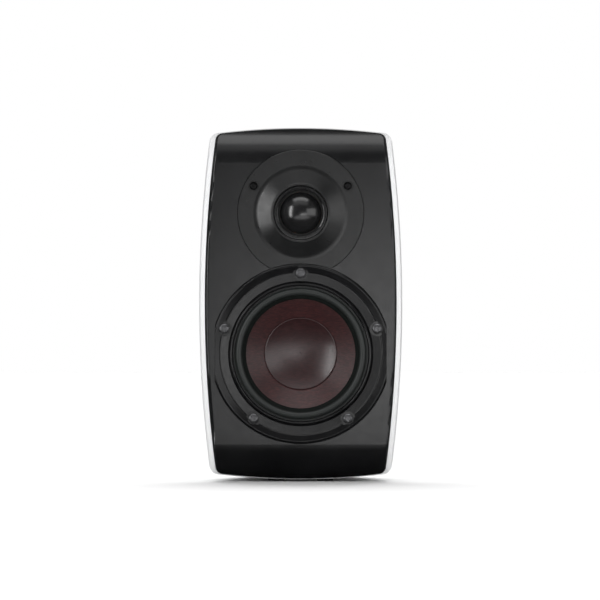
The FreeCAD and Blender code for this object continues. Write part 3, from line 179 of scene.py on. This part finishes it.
def shell_paint():
    """Fine satin powder coat: orange peel and the faintest tone drift."""
    colour = (0.88, 0.885, 0.89)
    made = Material("shell_paint", colour, 0.42)
    made.vary_colour(made.noise(22, 3), shade(colour, 0.985), shade(colour, 1.01))
    made.vary_roughness(made.noise(420, 4), 0.38, 0.46)
    made.bump(made.noise(900, 3), 0.010 * MM)
    made.bump(made.noise(3200, 2), 0.003 * MM)
    return made.data


def baffle_paint():
    """Satin black moulding: very smooth, with a soft waviness and a fine bloom of dust."""
    colour = (0.0065, 0.0067, 0.0072)
    made = Material("baffle_paint", colour, 0.24)
    made.vary_colour(made.noise(35, 4), shade(colour, 0.8), shade(colour, 1.35))
    made.vary_roughness(made.noise(160, 5), 0.22, 0.27)
    made.bump(made.noise(1800, 2), 0.0025 * MM)
    return made.data


def cast_black():
    """Black paint over cast alloy: a slightly pebbled satin skin."""
    colour = (0.0065, 0.0065, 0.007)
    made = Material("cast_black", colour, 0.22, specular_ior_level=0.34)
    made.vary_colour(made.noise(90, 4), shade(colour, 0.75), shade(colour, 1.4))
    made.vary_roughness(made.noise(300, 5), 0.18, 0.25)
    made.bump(made.noise(1500, 3), 0.008 * MM)
    made.bump(made.cells(2600), 0.003 * MM)
    return made.data


def faceplate_plastic():
    colour = (0.0085, 0.0087, 0.009)
    made = Material("faceplate_plastic", colour, 0.3)
    made.vary_colour(made.noise(70, 4), shade(colour, 0.8), shade(colour, 1.25))
    made.vary_roughness(made.noise(220, 5), 0.27, 0.34)
    made.bump(made.noise(2200, 2), 0.004 * MM)
    return made.data


def black_oxide(name="black_oxide", colour=(0.10, 0.10, 0.104), wear=1.6):
    """Blackened steel, a little worn on its high spots."""
    made = Material(name, colour, 0.3, metallic=0.75)
    made.vary_colour(made.noise(800, 5), shade(colour, 0.6), shade(colour, wear))
    made.vary_roughness(made.noise(1400, 4), 0.24, 0.36)
    made.bump(made.noise(3000, 3), 0.004 * MM)
    return made.data


def surround_rubber(centre, inner, outer):
    """Matt butyl rubber with a faint grey painted highlight on the roll, and a darker flat foot inside it.
    """
    # bloom is the lighter grey painted on the roll as a painted highlight band; foot is the darker colour of
    # the flat foot.
    bloom, foot = (0.019, 0.0225, 0.0215), (0.0045, 0.0065, 0.0055)
    made = Material("surround_rubber", bloom, 0.46, sheen_roughness=0.45)
    offset = made.node("VectorMath", operation="SUBTRACT")
    made.link(made.coordinates.outputs["Object"], offset.inputs[0])
    offset.inputs[1].default_value = centre
    flat = made.node("VectorMath", operation="MULTIPLY")
    made.link(offset.outputs["Vector"], flat.inputs[0])
    flat.inputs[1].default_value = (1, 0, 1)
    radius = made.node("VectorMath", operation="LENGTH")
    made.link(flat.outputs["Vector"], radius.inputs[0])
    place = made.ranged(radius.outputs["Value"], 0.0, 1.0, inner, outer)
    wander = made.node("Math", operation="MULTIPLY_ADD")
    made.link(made.noise(150, 5), wander.inputs[0])
    wander.inputs[1].default_value = 0.35
    made.link(place, wander.inputs[2])
    # Painted highlight: the colour runs from the dark foot to the lighter roll, with a random drift.
    made.vary_colour(wander.outputs["Value"], foot, bloom, 0.15, 1.2)
    made.link(made.ranged(place, 0.8, 0.46, 0.0, 1.0), made.shader.inputs["Roughness"])
    made.link(made.ranged(place, 0.12, 0.5, 0.0, 1.0), made.shader.inputs["Specular IOR Level"])
    made.bump(made.noise(2400, 3), 0.006 * MM)
    return made.data


def fibre(name, dark, light, roughness, centre, coat):
    """Pressed paper pulp: a dark ground with short lighter fibres lying every way, under a thin lacquer."""
    made = Material(name, dark, roughness, coat_weight=coat, coat_roughness=0.3)
    strands = None
    for turn, stretch in ((0.3, 9.0), (1.4, 8.0), (2.5, 10.0)):
        vector = made.stretched((1, 1, stretch), (0, turn, 0), centre)
        layer = made.noise(260, 2, 0.5, vector)
        if strands is None:
            strands = layer
            continue
        mix = made.node("Math", operation="MAXIMUM")
        made.link(strands, mix.inputs[0])
        made.link(layer, mix.inputs[1])
        strands = mix.outputs["Value"]
    made.vary_colour(strands, dark, light, 0.5, 0.78)
    made.vary_roughness(made.noise(500, 4), roughness * 0.85, roughness * 1.2)
    made.bump(strands, 0.02 * MM, 0.6)
    made.bump(made.noise(1600, 3), 0.006 * MM)
    return made.data


def cloth(name, colour, pitch, axis_turn=(0, 0, 0), roughness=0.85):
    """A plain weave of crossing threads."""
    made = Material(name, colour, roughness, sheen_weight=0.2)
    weave = None
    for turn in (0.0, math.pi / 2):
        wave = made.node("TexWave", scale=2 * math.pi / pitch / 20, distortion=0.4)
        vector = made.stretched((1, 1, 1), (axis_turn[0], axis_turn[1] + turn, axis_turn[2]))
        made.link(vector, wave.inputs["Vector"])
        if weave is None:
            weave = wave.outputs["Fac"]
            continue
        mix = made.node("Math", operation="MULTIPLY")
        made.link(weave, mix.inputs[0])
        made.link(wave.outputs["Fac"], mix.inputs[1])
        weave = mix.outputs["Value"]
    made.vary_colour(weave, shade(colour, 0.55), shade(colour, 1.15), 0.0, 0.8)
    made.bump(weave, 0.15 * MM, 0.7)
    return made.data


def wound_wire(name, colour, pitch):
    """Enamelled wire wound round the Y axis, its turns side by side."""
    made = Material(name, colour, 0.3, metallic=1.0, coat_weight=0.5)
    wave = made.node("TexWave", scale=2 * math.pi / pitch / 20, distortion=0.15)
    wave.bands_direction = "Y"
    made.link(made.coordinates.outputs["Object"], wave.inputs["Vector"])
    made.vary_colour(wave.outputs["Fac"], shade(colour, 0.35), shade(colour, 1.1), 0.0, 0.9)
    made.bump(wave.outputs["Fac"], 0.1 * MM)
    return made.data


def ferrite():
    colour = (0.022, 0.022, 0.024)
    made = Material("ferrite_ceramic", colour, 0.55)
    made.vary_colour(made.noise(300, 6), shade(colour, 0.6), shade(colour, 1.5))
    made.vary_roughness(made.noise(200, 3), 0.48, 0.66)
    made.bump(made.noise(1300, 5), 0.02 * MM)
    return made.data


def foam(name, colour, cell):
    made = Material(name, colour, 0.9)
    cells = made.cells(1 / cell)
    made.vary_colour(cells, shade(colour, 1.3), shade(colour, 0.5), 0.1, 0.6)
    made.bump(cells, 0.1 * MM, 0.8)
    return made.data


def fibreboard(name, colour):
    made = Material(name, colour, 0.55)
    made.vary_colour(made.noise(700, 6, 0.7), shade(colour, 0.7), shade(colour, 1.25))
    made.bump(made.noise(1200, 4), 0.012 * MM)
    return made.data


def board_laminate():
    """Green solder mask over a faint glass weave."""
    colour = (0.012, 0.09, 0.035)
    made = Material("board_laminate", colour, 0.28, coat_weight=0.3)
    weave = made.cells(900, made.stretched((1, 1, 1.2)))
    made.vary_colour(weave, shade(colour, 0.7), shade(colour, 1.3), 0.1, 0.6)
    made.bump(weave, 0.004 * MM)
    return made.data


def fluff(name, colour):
    """Loose polyester fibre."""
    made = Material(name, colour, 0.95, sheen_weight=0.5)
    strands = made.noise(500, 8, 0.75, made.stretched((1, 0.25, 1)))
    made.vary_colour(strands, shade(colour, 0.7), shade(colour, 1.05), 0.35, 0.65)
    made.bump(strands, 0.5 * MM, 0.8)
    return made.data


def dome_lacquer():
    """Glossy black coated dome."""
    colour = (0.010, 0.010, 0.0105)
    made = Material("dome_lacquer", colour, 0.2, specular_ior_level=0.7)
    made.vary_colour(made.noise(120, 3), shade(colour, 0.85), shade(colour, 1.2))
    made.vary_roughness(made.noise(150, 3), 0.18, 0.23)
    return made.data


def centre_of(node):
    low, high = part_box(node)
    return (low + high) / 2


WOOFER = centre_of("woofer_cone")
TWEETER = centre_of("tweeter_dome")
FOOT_END = 41.6 * MM
ROLL_START = 43.0 * MM
BRUSH_Y = (1, 12, 1)
BRASS = (0.72, 0.5, 0.2)

FINISHES = {
    "shell_white": shell_paint(),
    "baffle_black": baffle_paint(),
    "black_steel": cast_black(),
    "foam_gasket": foam("gasket_foam", (0.02, 0.02, 0.02), 0.5 * MM),
    "black_screw": black_oxide(),
    "zinc_screw": metal("zinc_plate", (0.6, 0.6, 0.57), 0.32),
    "foot_rubber": plain_plastic("foot_rubber", (0.018, 0.018, 0.018), 0.7, 0.02),
    "brass_insert": metal("turned_brass", BRASS, 0.28, BRUSH_Y),
    "gold_brass": metal("gilt_brass", (0.85, 0.6, 0.25), 0.2, BRUSH_Y),
    "port_plastic": plain_plastic("port_plastic", (0.014, 0.014, 0.0145), 0.42),
    "surround_rubber": surround_rubber(WOOFER, FOOT_END, ROLL_START),
    "cone_fibre": fibre("cone_pulp", (0.028, 0.0065, 0.0075), (0.080, 0.018, 0.018), 0.45, WOOFER, 0.12),
    "cap_fibre": fibre("cap_pulp", (0.024, 0.0060, 0.0070), (0.055, 0.014, 0.015), 0.36, WOOFER, 0.6),
    "spider_cloth": cloth("spider_cloth", (0.55, 0.3, 0.09), 0.5 * MM),
    "former_kapton": plain_plastic("former_film", (0.32, 0.13, 0.03), 0.3),
    "former_aluminium": metal("former_foil", (0.8, 0.8, 0.8), 0.3),
    "copper_winding": wound_wire("coil_wire", (0.75, 0.3, 0.12), 0.3 * MM),
    "steel_plate": metal("zinc_steel", (0.5, 0.5, 0.48), 0.36, (1, 1, 6)),
    "ferrite": ferrite(),
    "fibre_board": fibreboard("phenolic_strip", (0.2, 0.09, 0.035)),
    "tinned_tag": metal("tinned_brass", (0.75, 0.74, 0.7), 0.35),
    "tinsel": metal("tinsel_braid", (0.75, 0.42, 0.22), 0.45),
    "faceplate_black": faceplate_plastic(),
    "trim_black": plain_plastic("trim_plastic", (0.012, 0.012, 0.0125), 0.13, 0.001),
    "dome_metal": dome_lacquer(),
    "dome_surround_cloth": cloth("dome_cloth", (0.015, 0.015, 0.015), 0.35 * MM),
    "felt": fluff("wool_felt", (0.4, 0.38, 0.34)),
    "cup_plastic": plain_plastic("cup_plastic", (0.013, 0.013, 0.0135), 0.4, 0.01),
    "red_plastic": plain_plastic("red_plastic", (0.42, 0.008, 0.01), 0.24, 0.003, coat_weight=0.3),
    "black_plastic": plain_plastic("black_plastic", (0.012, 0.012, 0.012), 0.24, 0.003, coat_weight=0.3),
    "board_green": board_laminate(),
    "spacer_nylon": plain_plastic("nylon", (0.72, 0.7, 0.64), 0.45),
    "coil_copper": wound_wire("inductor_wire", (0.72, 0.28, 0.1), 0.8 * MM),
    "capacitor_film": plain_plastic("capacitor_wrap", (0.35, 0.05, 0.02), 0.3),
    "resistor_cement": fibreboard("cement", (0.7, 0.68, 0.62)),
    "lead_red": plain_plastic("lead_insulation", (0.35, 0.012, 0.012), 0.42),
    "wadding": fluff("wadding_fibre", (0.78, 0.78, 0.75)),
}

# Painted shade: the tweeter's deep-set screws get a far darker copy of the screw finish, standing in for the
# shade in their seats.
PIECE_FINISHES = {"tweeter_screws": black_oxide("screw_oxide_painted_shade", (0.012, 0.012, 0.0125), 1.3)}


def paint_frame():
    for name, thing in NODES.items():
        finish = PIECE_FINISHES.get(name, FINISHES[SLOT_OF[name]])
        thing.data.materials.clear()
        thing.data.materials.append(finish)


paint_frame()


# ---------------------------------------------------------------- soft pieces


def add_object(name, data):
    thing = bpy.data.objects.new(name, data)
    bpy.context.scene.collection.objects.link(thing)
    return thing


def smooth(mesh):
    for polygon in mesh.polygons:
        polygon.use_smooth = True


def turned_mesh(name, profile, centre, steps=192):
    """Turns a closed profile of (radius, y), in metres, about an axis along Y."""
    rings = len(profile)
    verts, faces = [], []
    for step in range(steps):
        angle = 2 * math.pi * step / steps
        for radius, y in profile:
            spot = (centre.x + radius * math.sin(angle), y, centre.z + radius * math.cos(angle))
            verts.append(spot)
    for step in range(steps):
        after = (step + 1) % steps
        for ring in range(rings):
            following = (ring + 1) % rings
            faces.append(
                (
                    step * rings + ring,
                    step * rings + following,
                    after * rings + following,
                    after * rings + ring,
                )
            )
    mesh = bpy.data.meshes.new(name)
    mesh.from_pydata(verts, [], faces)
    mesh.update()
    thing = add_object(name, mesh)
    face_outwards(thing)
    smooth(mesh)
    return thing


def face_outwards(thing):
    work = bmesh.new()
    work.from_mesh(thing.data)
    bmesh.ops.recalc_face_normals(work, faces=work.faces)
    work.to_mesh(thing.data)
    work.free()


def arc_points(start, stop, height, count):
    """Points over a half roll from one radius to another, bulging towards the front."""
    middle, reach = (start[0] + stop[0]) / 2, (stop[0] - start[0]) / 2
    points = []
    for step in range(count + 1):
        t = math.pi * step / count
        level = start[1] + (stop[1] - start[1]) * step / count
        points.append((middle - reach * math.cos(t), level - height * math.sin(t)))
    return points


def blend_round(thing):
    """Bakes the piece's placement into its mesh."""
    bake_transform(thing)


def dress(thing, node, finish=None):
    thing.data.materials.append(finish or FINISHES[SLOT_OF[node]])
    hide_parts(node)
    return thing


def woofer_surround():
    """A half-roll rubber edge with a bonded outer land and a flat foot down the cone's edge."""
    low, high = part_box("woofer_surround")
    rim = (high.x - low.x) / 2
    reach = 2.5 * MM
    level = low.y + reach
    roll_outer = rim - 1.2 * MM
    roll_inner = roll_outer - 2 * reach
    foot_slope = 0.56
    foot_reach = 2.75 * MM
    land = [(rim - 0.2 * MM, level - 0.1 * MM), (roll_outer + 0.5 * MM, level - 0.1 * MM)]
    roll = arc_points((roll_outer, level), (roll_inner, level), reach - 0.03 * MM, 28)
    foot = [
        (roll_inner - 0.35 * MM, level + 0.32 * MM),
        (roll_inner - 1.2 * MM, level + (0.12 + 1.2 * foot_slope) * MM),
        (roll_inner - foot_reach + 0.25 * MM, level + 0.05 * MM + foot_reach * foot_slope),
        (roll_inner - foot_reach, level + 0.3 * MM + foot_reach * foot_slope),
    ]
    line = land + roll + foot
    outline = list(line)
    for index, (radius, y) in reversed(list(enumerate(line))):
        on_foot = index >= len(land) + len(roll) - 8
        outline.append((radius + (0.15 * MM if on_foot else 0), y + (0.25 if on_foot else 0.45) * MM))
    piece = turned_mesh("woofer_surround_rubber", outline, WOOFER, 224)
    dress(piece, "woofer_surround")
    blend_round(piece)
    return piece


woofer_surround()


def dust_cap():
    """The dished cap over the coil, as a smooth thin shell."""
    low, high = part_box("woofer_dust_cap")
    rim = (high.x - low.x) / 2
    thick = 0.45 * MM
    dish = high.y - low.y - 0.5 * MM
    ball = (rim * rim + dish * dish) / (2 * dish)
    front = []
    for step in range(41):
        radius = max(rim * step / 40, 0.04 * MM)
        front.append((radius, low.y + dish - ball + math.sqrt(ball * ball - radius * radius)))
    outline = front + [(radius, y + thick) for radius, y in reversed(front)]
    piece = turned_mesh("woofer_dust_cap_skin", outline, WOOFER, 160)
    dress(piece, "woofer_dust_cap")
    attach(piece, "woofer_diaphragm")
    return piece


dust_cap()


def tweeter_surround():
    """The dome's small soft roll, bonded outside it to a flat rim."""
    low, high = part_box("tweeter_surround")
    rim = (high.x - low.x) / 2
    dome_low, dome_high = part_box("tweeter_dome")
    edge = (dome_high.x - dome_low.x) / 2
    level = dome_high.y + 0.3 * MM
    outer = 16.4 * MM
    roll = arc_points((outer, level), (edge + 0.05 * MM, level), 0.55 * MM, 14)
    line = [(rim - 0.1 * MM, level), (outer + 0.8 * MM, level)] + roll
    outline = line + [(r, y + 0.3 * MM) for r, y in line[::-1]]
    piece = turned_mesh("tweeter_surround_cloth", outline, TWEETER, 160)
    dress(piece, "tweeter_surround")
    blend_round(piece)
    return piece


tweeter_surround()


def spider():
    """The corrugated cloth that centres the voice coil."""
    low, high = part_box("woofer_spider")
    outer = (high.x - low.x) / 2
    middle = (low.y + high.y) / 2
    inner = 12.9 * MM
    first, last = 16.0 * MM, 31.3 * MM
    count, half_waves, wave_height = 120, 5, 0.75 * MM
    line = []
    for step in range(count + 1):
        radius = inner + (outer - inner) * step / count
        share = (radius - first) / (last - first)
        rise = wave_height * math.sin(half_waves * math.pi * share) if 0 < share < 1 else 0
        line.append((radius, middle - 0.2 * MM + rise))
    outline = line + [(r, y + 0.4 * MM) for r, y in line[::-1]]
    piece = turned_mesh("woofer_spider_cloth", outline, WOOFER, 144)
    dress(piece, "woofer_spider")
    blend_round(piece)
    return piece


spider()


def tinsel_leads():
    """Two braided leads in slack curves from the terminal strip to the back of the cone."""
    low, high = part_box("woofer_tinsel_leads")
    half_gap = (high.x - low.x) / 2 - 0.5 * MM
    bottom, top = low.z + 0.5 * MM, high.z - 0.5 * MM
    near, far = low.y + 0.55 * MM, high.y - 0.55 * MM
    pieces = []
    for sign in (-1, 1):
        curve = bpy.data.curves.new("tinsel", "CURVE")
        curve.dimensions = "3D"
        curve.bevel_depth = 0.45 * MM
        curve.bevel_resolution = 3
        curve.resolution_u = 10
        spline = curve.splines.new("NURBS")
        spots = [
            (far, bottom),
            (far - 0.3 * MM, bottom + (top - bottom) * 0.28),
            (near + (far - near) * 0.45, bottom + (top - bottom) * 0.5),
            (near + 0.2 * MM, bottom + (top - bottom) * 0.7),
            (near, top),
        ]
        spline.points.add(len(spots) - 1)
        for point, (y, z) in zip(spline.points, spots):
            point.co = (half_gap * sign, y, z, 1)
        spline.order_u = 3
        spline.use_endpoint_u = True
        holder = bpy.data.objects.new("tinsel", curve)
        mesh = bpy.data.meshes.new_from_object(holder)
        bpy.data.objects.remove(holder)
        pieces.append(mesh)
    work = bmesh.new()
    for mesh in pieces:
        work.from_mesh(mesh)
    joined = bpy.data.meshes.new("woofer_tinsel")
    work.to_mesh(joined)
    work.free()
    smooth(joined)
    thing = add_object("woofer_tinsel", joined)
    dress(thing, "woofer_tinsel_leads")
    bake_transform(thing)
    return thing


tinsel_leads()


def wadding_pillow(name, low, high, seed):
    """A lump of loose fibre wadding: crowned faces, soft pulled-in edges, and an uneven skin."""
    centre, size = (low + high) / 2, high - low
    work = bmesh.new()
    bmesh.ops.create_cube(work, size=1.0)
    bmesh.ops.subdivide_edges(work, edges=work.edges, cuts=13, use_grid_fill=True)
    for vert in work.verts:
        u = Vector(vert.co) * 2
        round_off = Vector(
            (
                u.x * math.sqrt(max(0, 1 - u.y**2 * 0.26 - u.z**2 * 0.14)),
                u.y * math.sqrt(max(0, 1 - u.x**2 * 0.26 - u.z**2 * 0.16)),
                u.z * math.sqrt(max(0, 1 - u.x**2 * 0.12 - u.y**2 * 0.12)),
            )
        )
        spot = Vector((round_off.x * size.x, round_off.y * size.y, round_off.z * size.z)) / 2
        lump = noise.noise(spot * 60 + Vector((seed, 0, 0))) * 0.03
        lump += noise.noise(spot * 170 + Vector((0, seed, 0))) * 0.015
        vert.co = centre + spot * (0.955 + lump)
    mesh = bpy.data.meshes.new(name)
    work.to_mesh(mesh)
    work.free()
    smooth(mesh)
    thing = add_object(name, mesh)
    thing.data.materials.append(FINISHES["wadding"])
    soften = thing.modifiers.new("Soften", "SUBSURF")
    soften.levels = soften.render_levels = 1
    return thing


def wadding():
    """One pad of loose wadding against each side wall."""
    low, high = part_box("damping_pads")
    thick = 10 * MM
    for number, (x0, x1) in enumerate(((low.x, low.x + thick), (high.x - thick, high.x))):
        name = "wadding_left" if number == 0 else "wadding_right"
        pillow = wadding_pillow(name, Vector((x0, low.y, low.z)), Vector((x1, high.y, high.z)), 3.7 * number)
        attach(pillow, "cabinet")
        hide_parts("damping_pads")


wadding()


def felt_disc():
    """A soft felt ring in the tweeter's rear chamber."""
    low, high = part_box("tweeter_felt")
    outer = (high.x - low.x) / 2 - 0.2 * MM
    inner = 4.2 * MM
    front, back = low.y + 0.3 * MM, high.y - 0.1 * MM
    outline = []
    for step in range(13):
        t = step / 12
        crown = 0.8 * MM * math.sin(math.pi * t)
        outline.append((inner + (outer - inner) * t, front + 0.8 * MM - crown))
    outline += [(outer, back), (inner, back)]
    piece = turned_mesh("tweeter_felt_ring", outline, TWEETER, 96)
    dress(piece, "tweeter_felt")
    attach(piece, "cabinet")


felt_disc()


# ---------------------------------------------------------------- studio


def add_area(name, size, spot, aim, radiance, matt=True):
    """A soft box of a given brightness. Left out of matt shading, it only shines in gloss."""
    data = bpy.data.lights.new(name, "AREA")
    data.shape = "RECTANGLE"
    data.size, data.size_y = size
    data.energy = radiance * math.pi * size[0] * size[1]
    lamp = add_object(name, data)
    lamp.location = spot
    lamp.rotation_euler = (Vector(aim) - Vector(spot)).to_track_quat("-Z", "Y").to_euler()
    lamp.visible_camera = False
    lamp.visible_diffuse = matt
    return lamp


def room():
    """White round the camera's view, a soft white room for matt skins, and nearly black in reflections."""
    world = bpy.data.worlds.new("Studio")
    bpy.context.scene.world = world
    world.use_nodes = True
    tree = world.node_tree
    back = tree.nodes["Background"]
    back.inputs["Color"].default_value = (1, 1, 1, 1)
    direction = tree.nodes.new("ShaderNodeTexCoord")
    split = tree.nodes.new("ShaderNodeSeparateXYZ")
    tree.links.new(direction.outputs["Generated"], split.inputs["Vector"])
    dim = tree.nodes.new("ShaderNodeMapRange")
    for key, value in {"From Min": -0.02, "From Max": 0.25, "To Min": 0.0, "To Max": GLOSS_ROOM}.items():
        dim.inputs[key].default_value = value
    tree.links.new(split.outputs["Z"], dim.inputs["Value"])
    path = tree.nodes.new("ShaderNodeLightPath")
    gloss = tree.nodes.new("ShaderNodeMix")
    gloss.inputs["A"].default_value = MATT_ROOM
    tree.links.new(path.outputs["Is Glossy Ray"], gloss.inputs["Factor"])
    tree.links.new(dim.outputs["Result"], gloss.inputs["B"])
    seen = tree.nodes.new("ShaderNodeMix")
    seen.inputs["B"].default_value = 1.0
    tree.links.new(path.outputs["Is Camera Ray"], seen.inputs["Factor"])
    tree.links.new(gloss.outputs["Result"], seen.inputs["A"])
    tree.links.new(seen.outputs["Result"], back.inputs["Strength"])


def studio():
    """Soft boxes for the highlights, and a soft sun behind and above, which is returned."""
    room()
    middle = (0, 0, 0.13)
    add_area("Top", (1.4, 0.8), (0, -0.36, 1.4), (0, -0.36, 0), 2.3, matt=False)
    add_area("Left", (0.26, 1.1), (-1.0, -1.0, 0.35), middle, 8)
    add_area("Right", (1.1, 0.7), (1.05, -0.95, 0.3), middle, 1.6)
    add_area("Upper", (1.6, 0.5), (0, -1.0, 1.25), middle, 0.55, matt=False)
    add_area("Front", (0.7, 0.17), (0.28, -1.3, 0.095), (0.28, 0, 0.095), 3.7, matt=False)
    add_area("Low", (0.7, 0.6), (0.08, -0.72, 0.004), (0.08, -0.72, 1), 1.4, matt=False)
    data = bpy.data.lights.new("Overhead", "SUN")
    data.energy = SUN_STRENGTH
    data.angle = math.radians(60)
    sun = add_object("Overhead", data)
    sun.rotation_euler = (math.radians(-40), 0, 0)
    sun.visible_glossy = False
    return sun


def floor():
    """A wide pale matt floor that doesn't show in reflections."""
    mesh = bpy.data.meshes.new("Floor")
    half = 6.0
    corners = [(-half, -half, 0), (half, -half, 0), (half, half, 0), (-half, half, 0)]
    mesh.from_pydata(corners, [], [(0, 1, 2, 3)])
    thing = add_object("Floor", mesh)
    made = Material("studio_floor", (0.95, 0.95, 0.95), 0.9, specular_ior_level=0.0)
    made.vary_colour(made.noise(3, 2), (0.945, 0.945, 0.945), (0.955, 0.955, 0.955))
    thing.data.materials.append(made.data)
    thing.visible_glossy = False
    return thing


def shine_only_on(lamp, thing):
    """Keeps a lamp's light to one thing; everything else still throws its shadow there."""
    lit = bpy.data.collections.new("Lit_by_" + lamp.name)
    lit.objects.link(thing)
    lamp.light_linking.receiver_collection = lit


def camera():
    """Level with the speaker's middle and square on to its front, from far away."""
    distance, view_width, eye_height, sensor = 4.0, 0.4298, 0.1305, 36
    data = bpy.data.cameras.new("Camera")
    data.sensor_width = sensor
    data.lens = sensor * distance / view_width
    data.clip_end = 50
    eye = add_object("Camera", data)
    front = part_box("front_baffle")[0].y
    eye.location = (-0.0005, front - distance, eye_height)
    eye.rotation_euler = (math.pi / 2, 0, 0)
    bpy.context.scene.camera = eye


shine_only_on(studio(), floor())
camera()
bpy.context.scene.view_settings.view_transform = "Standard"
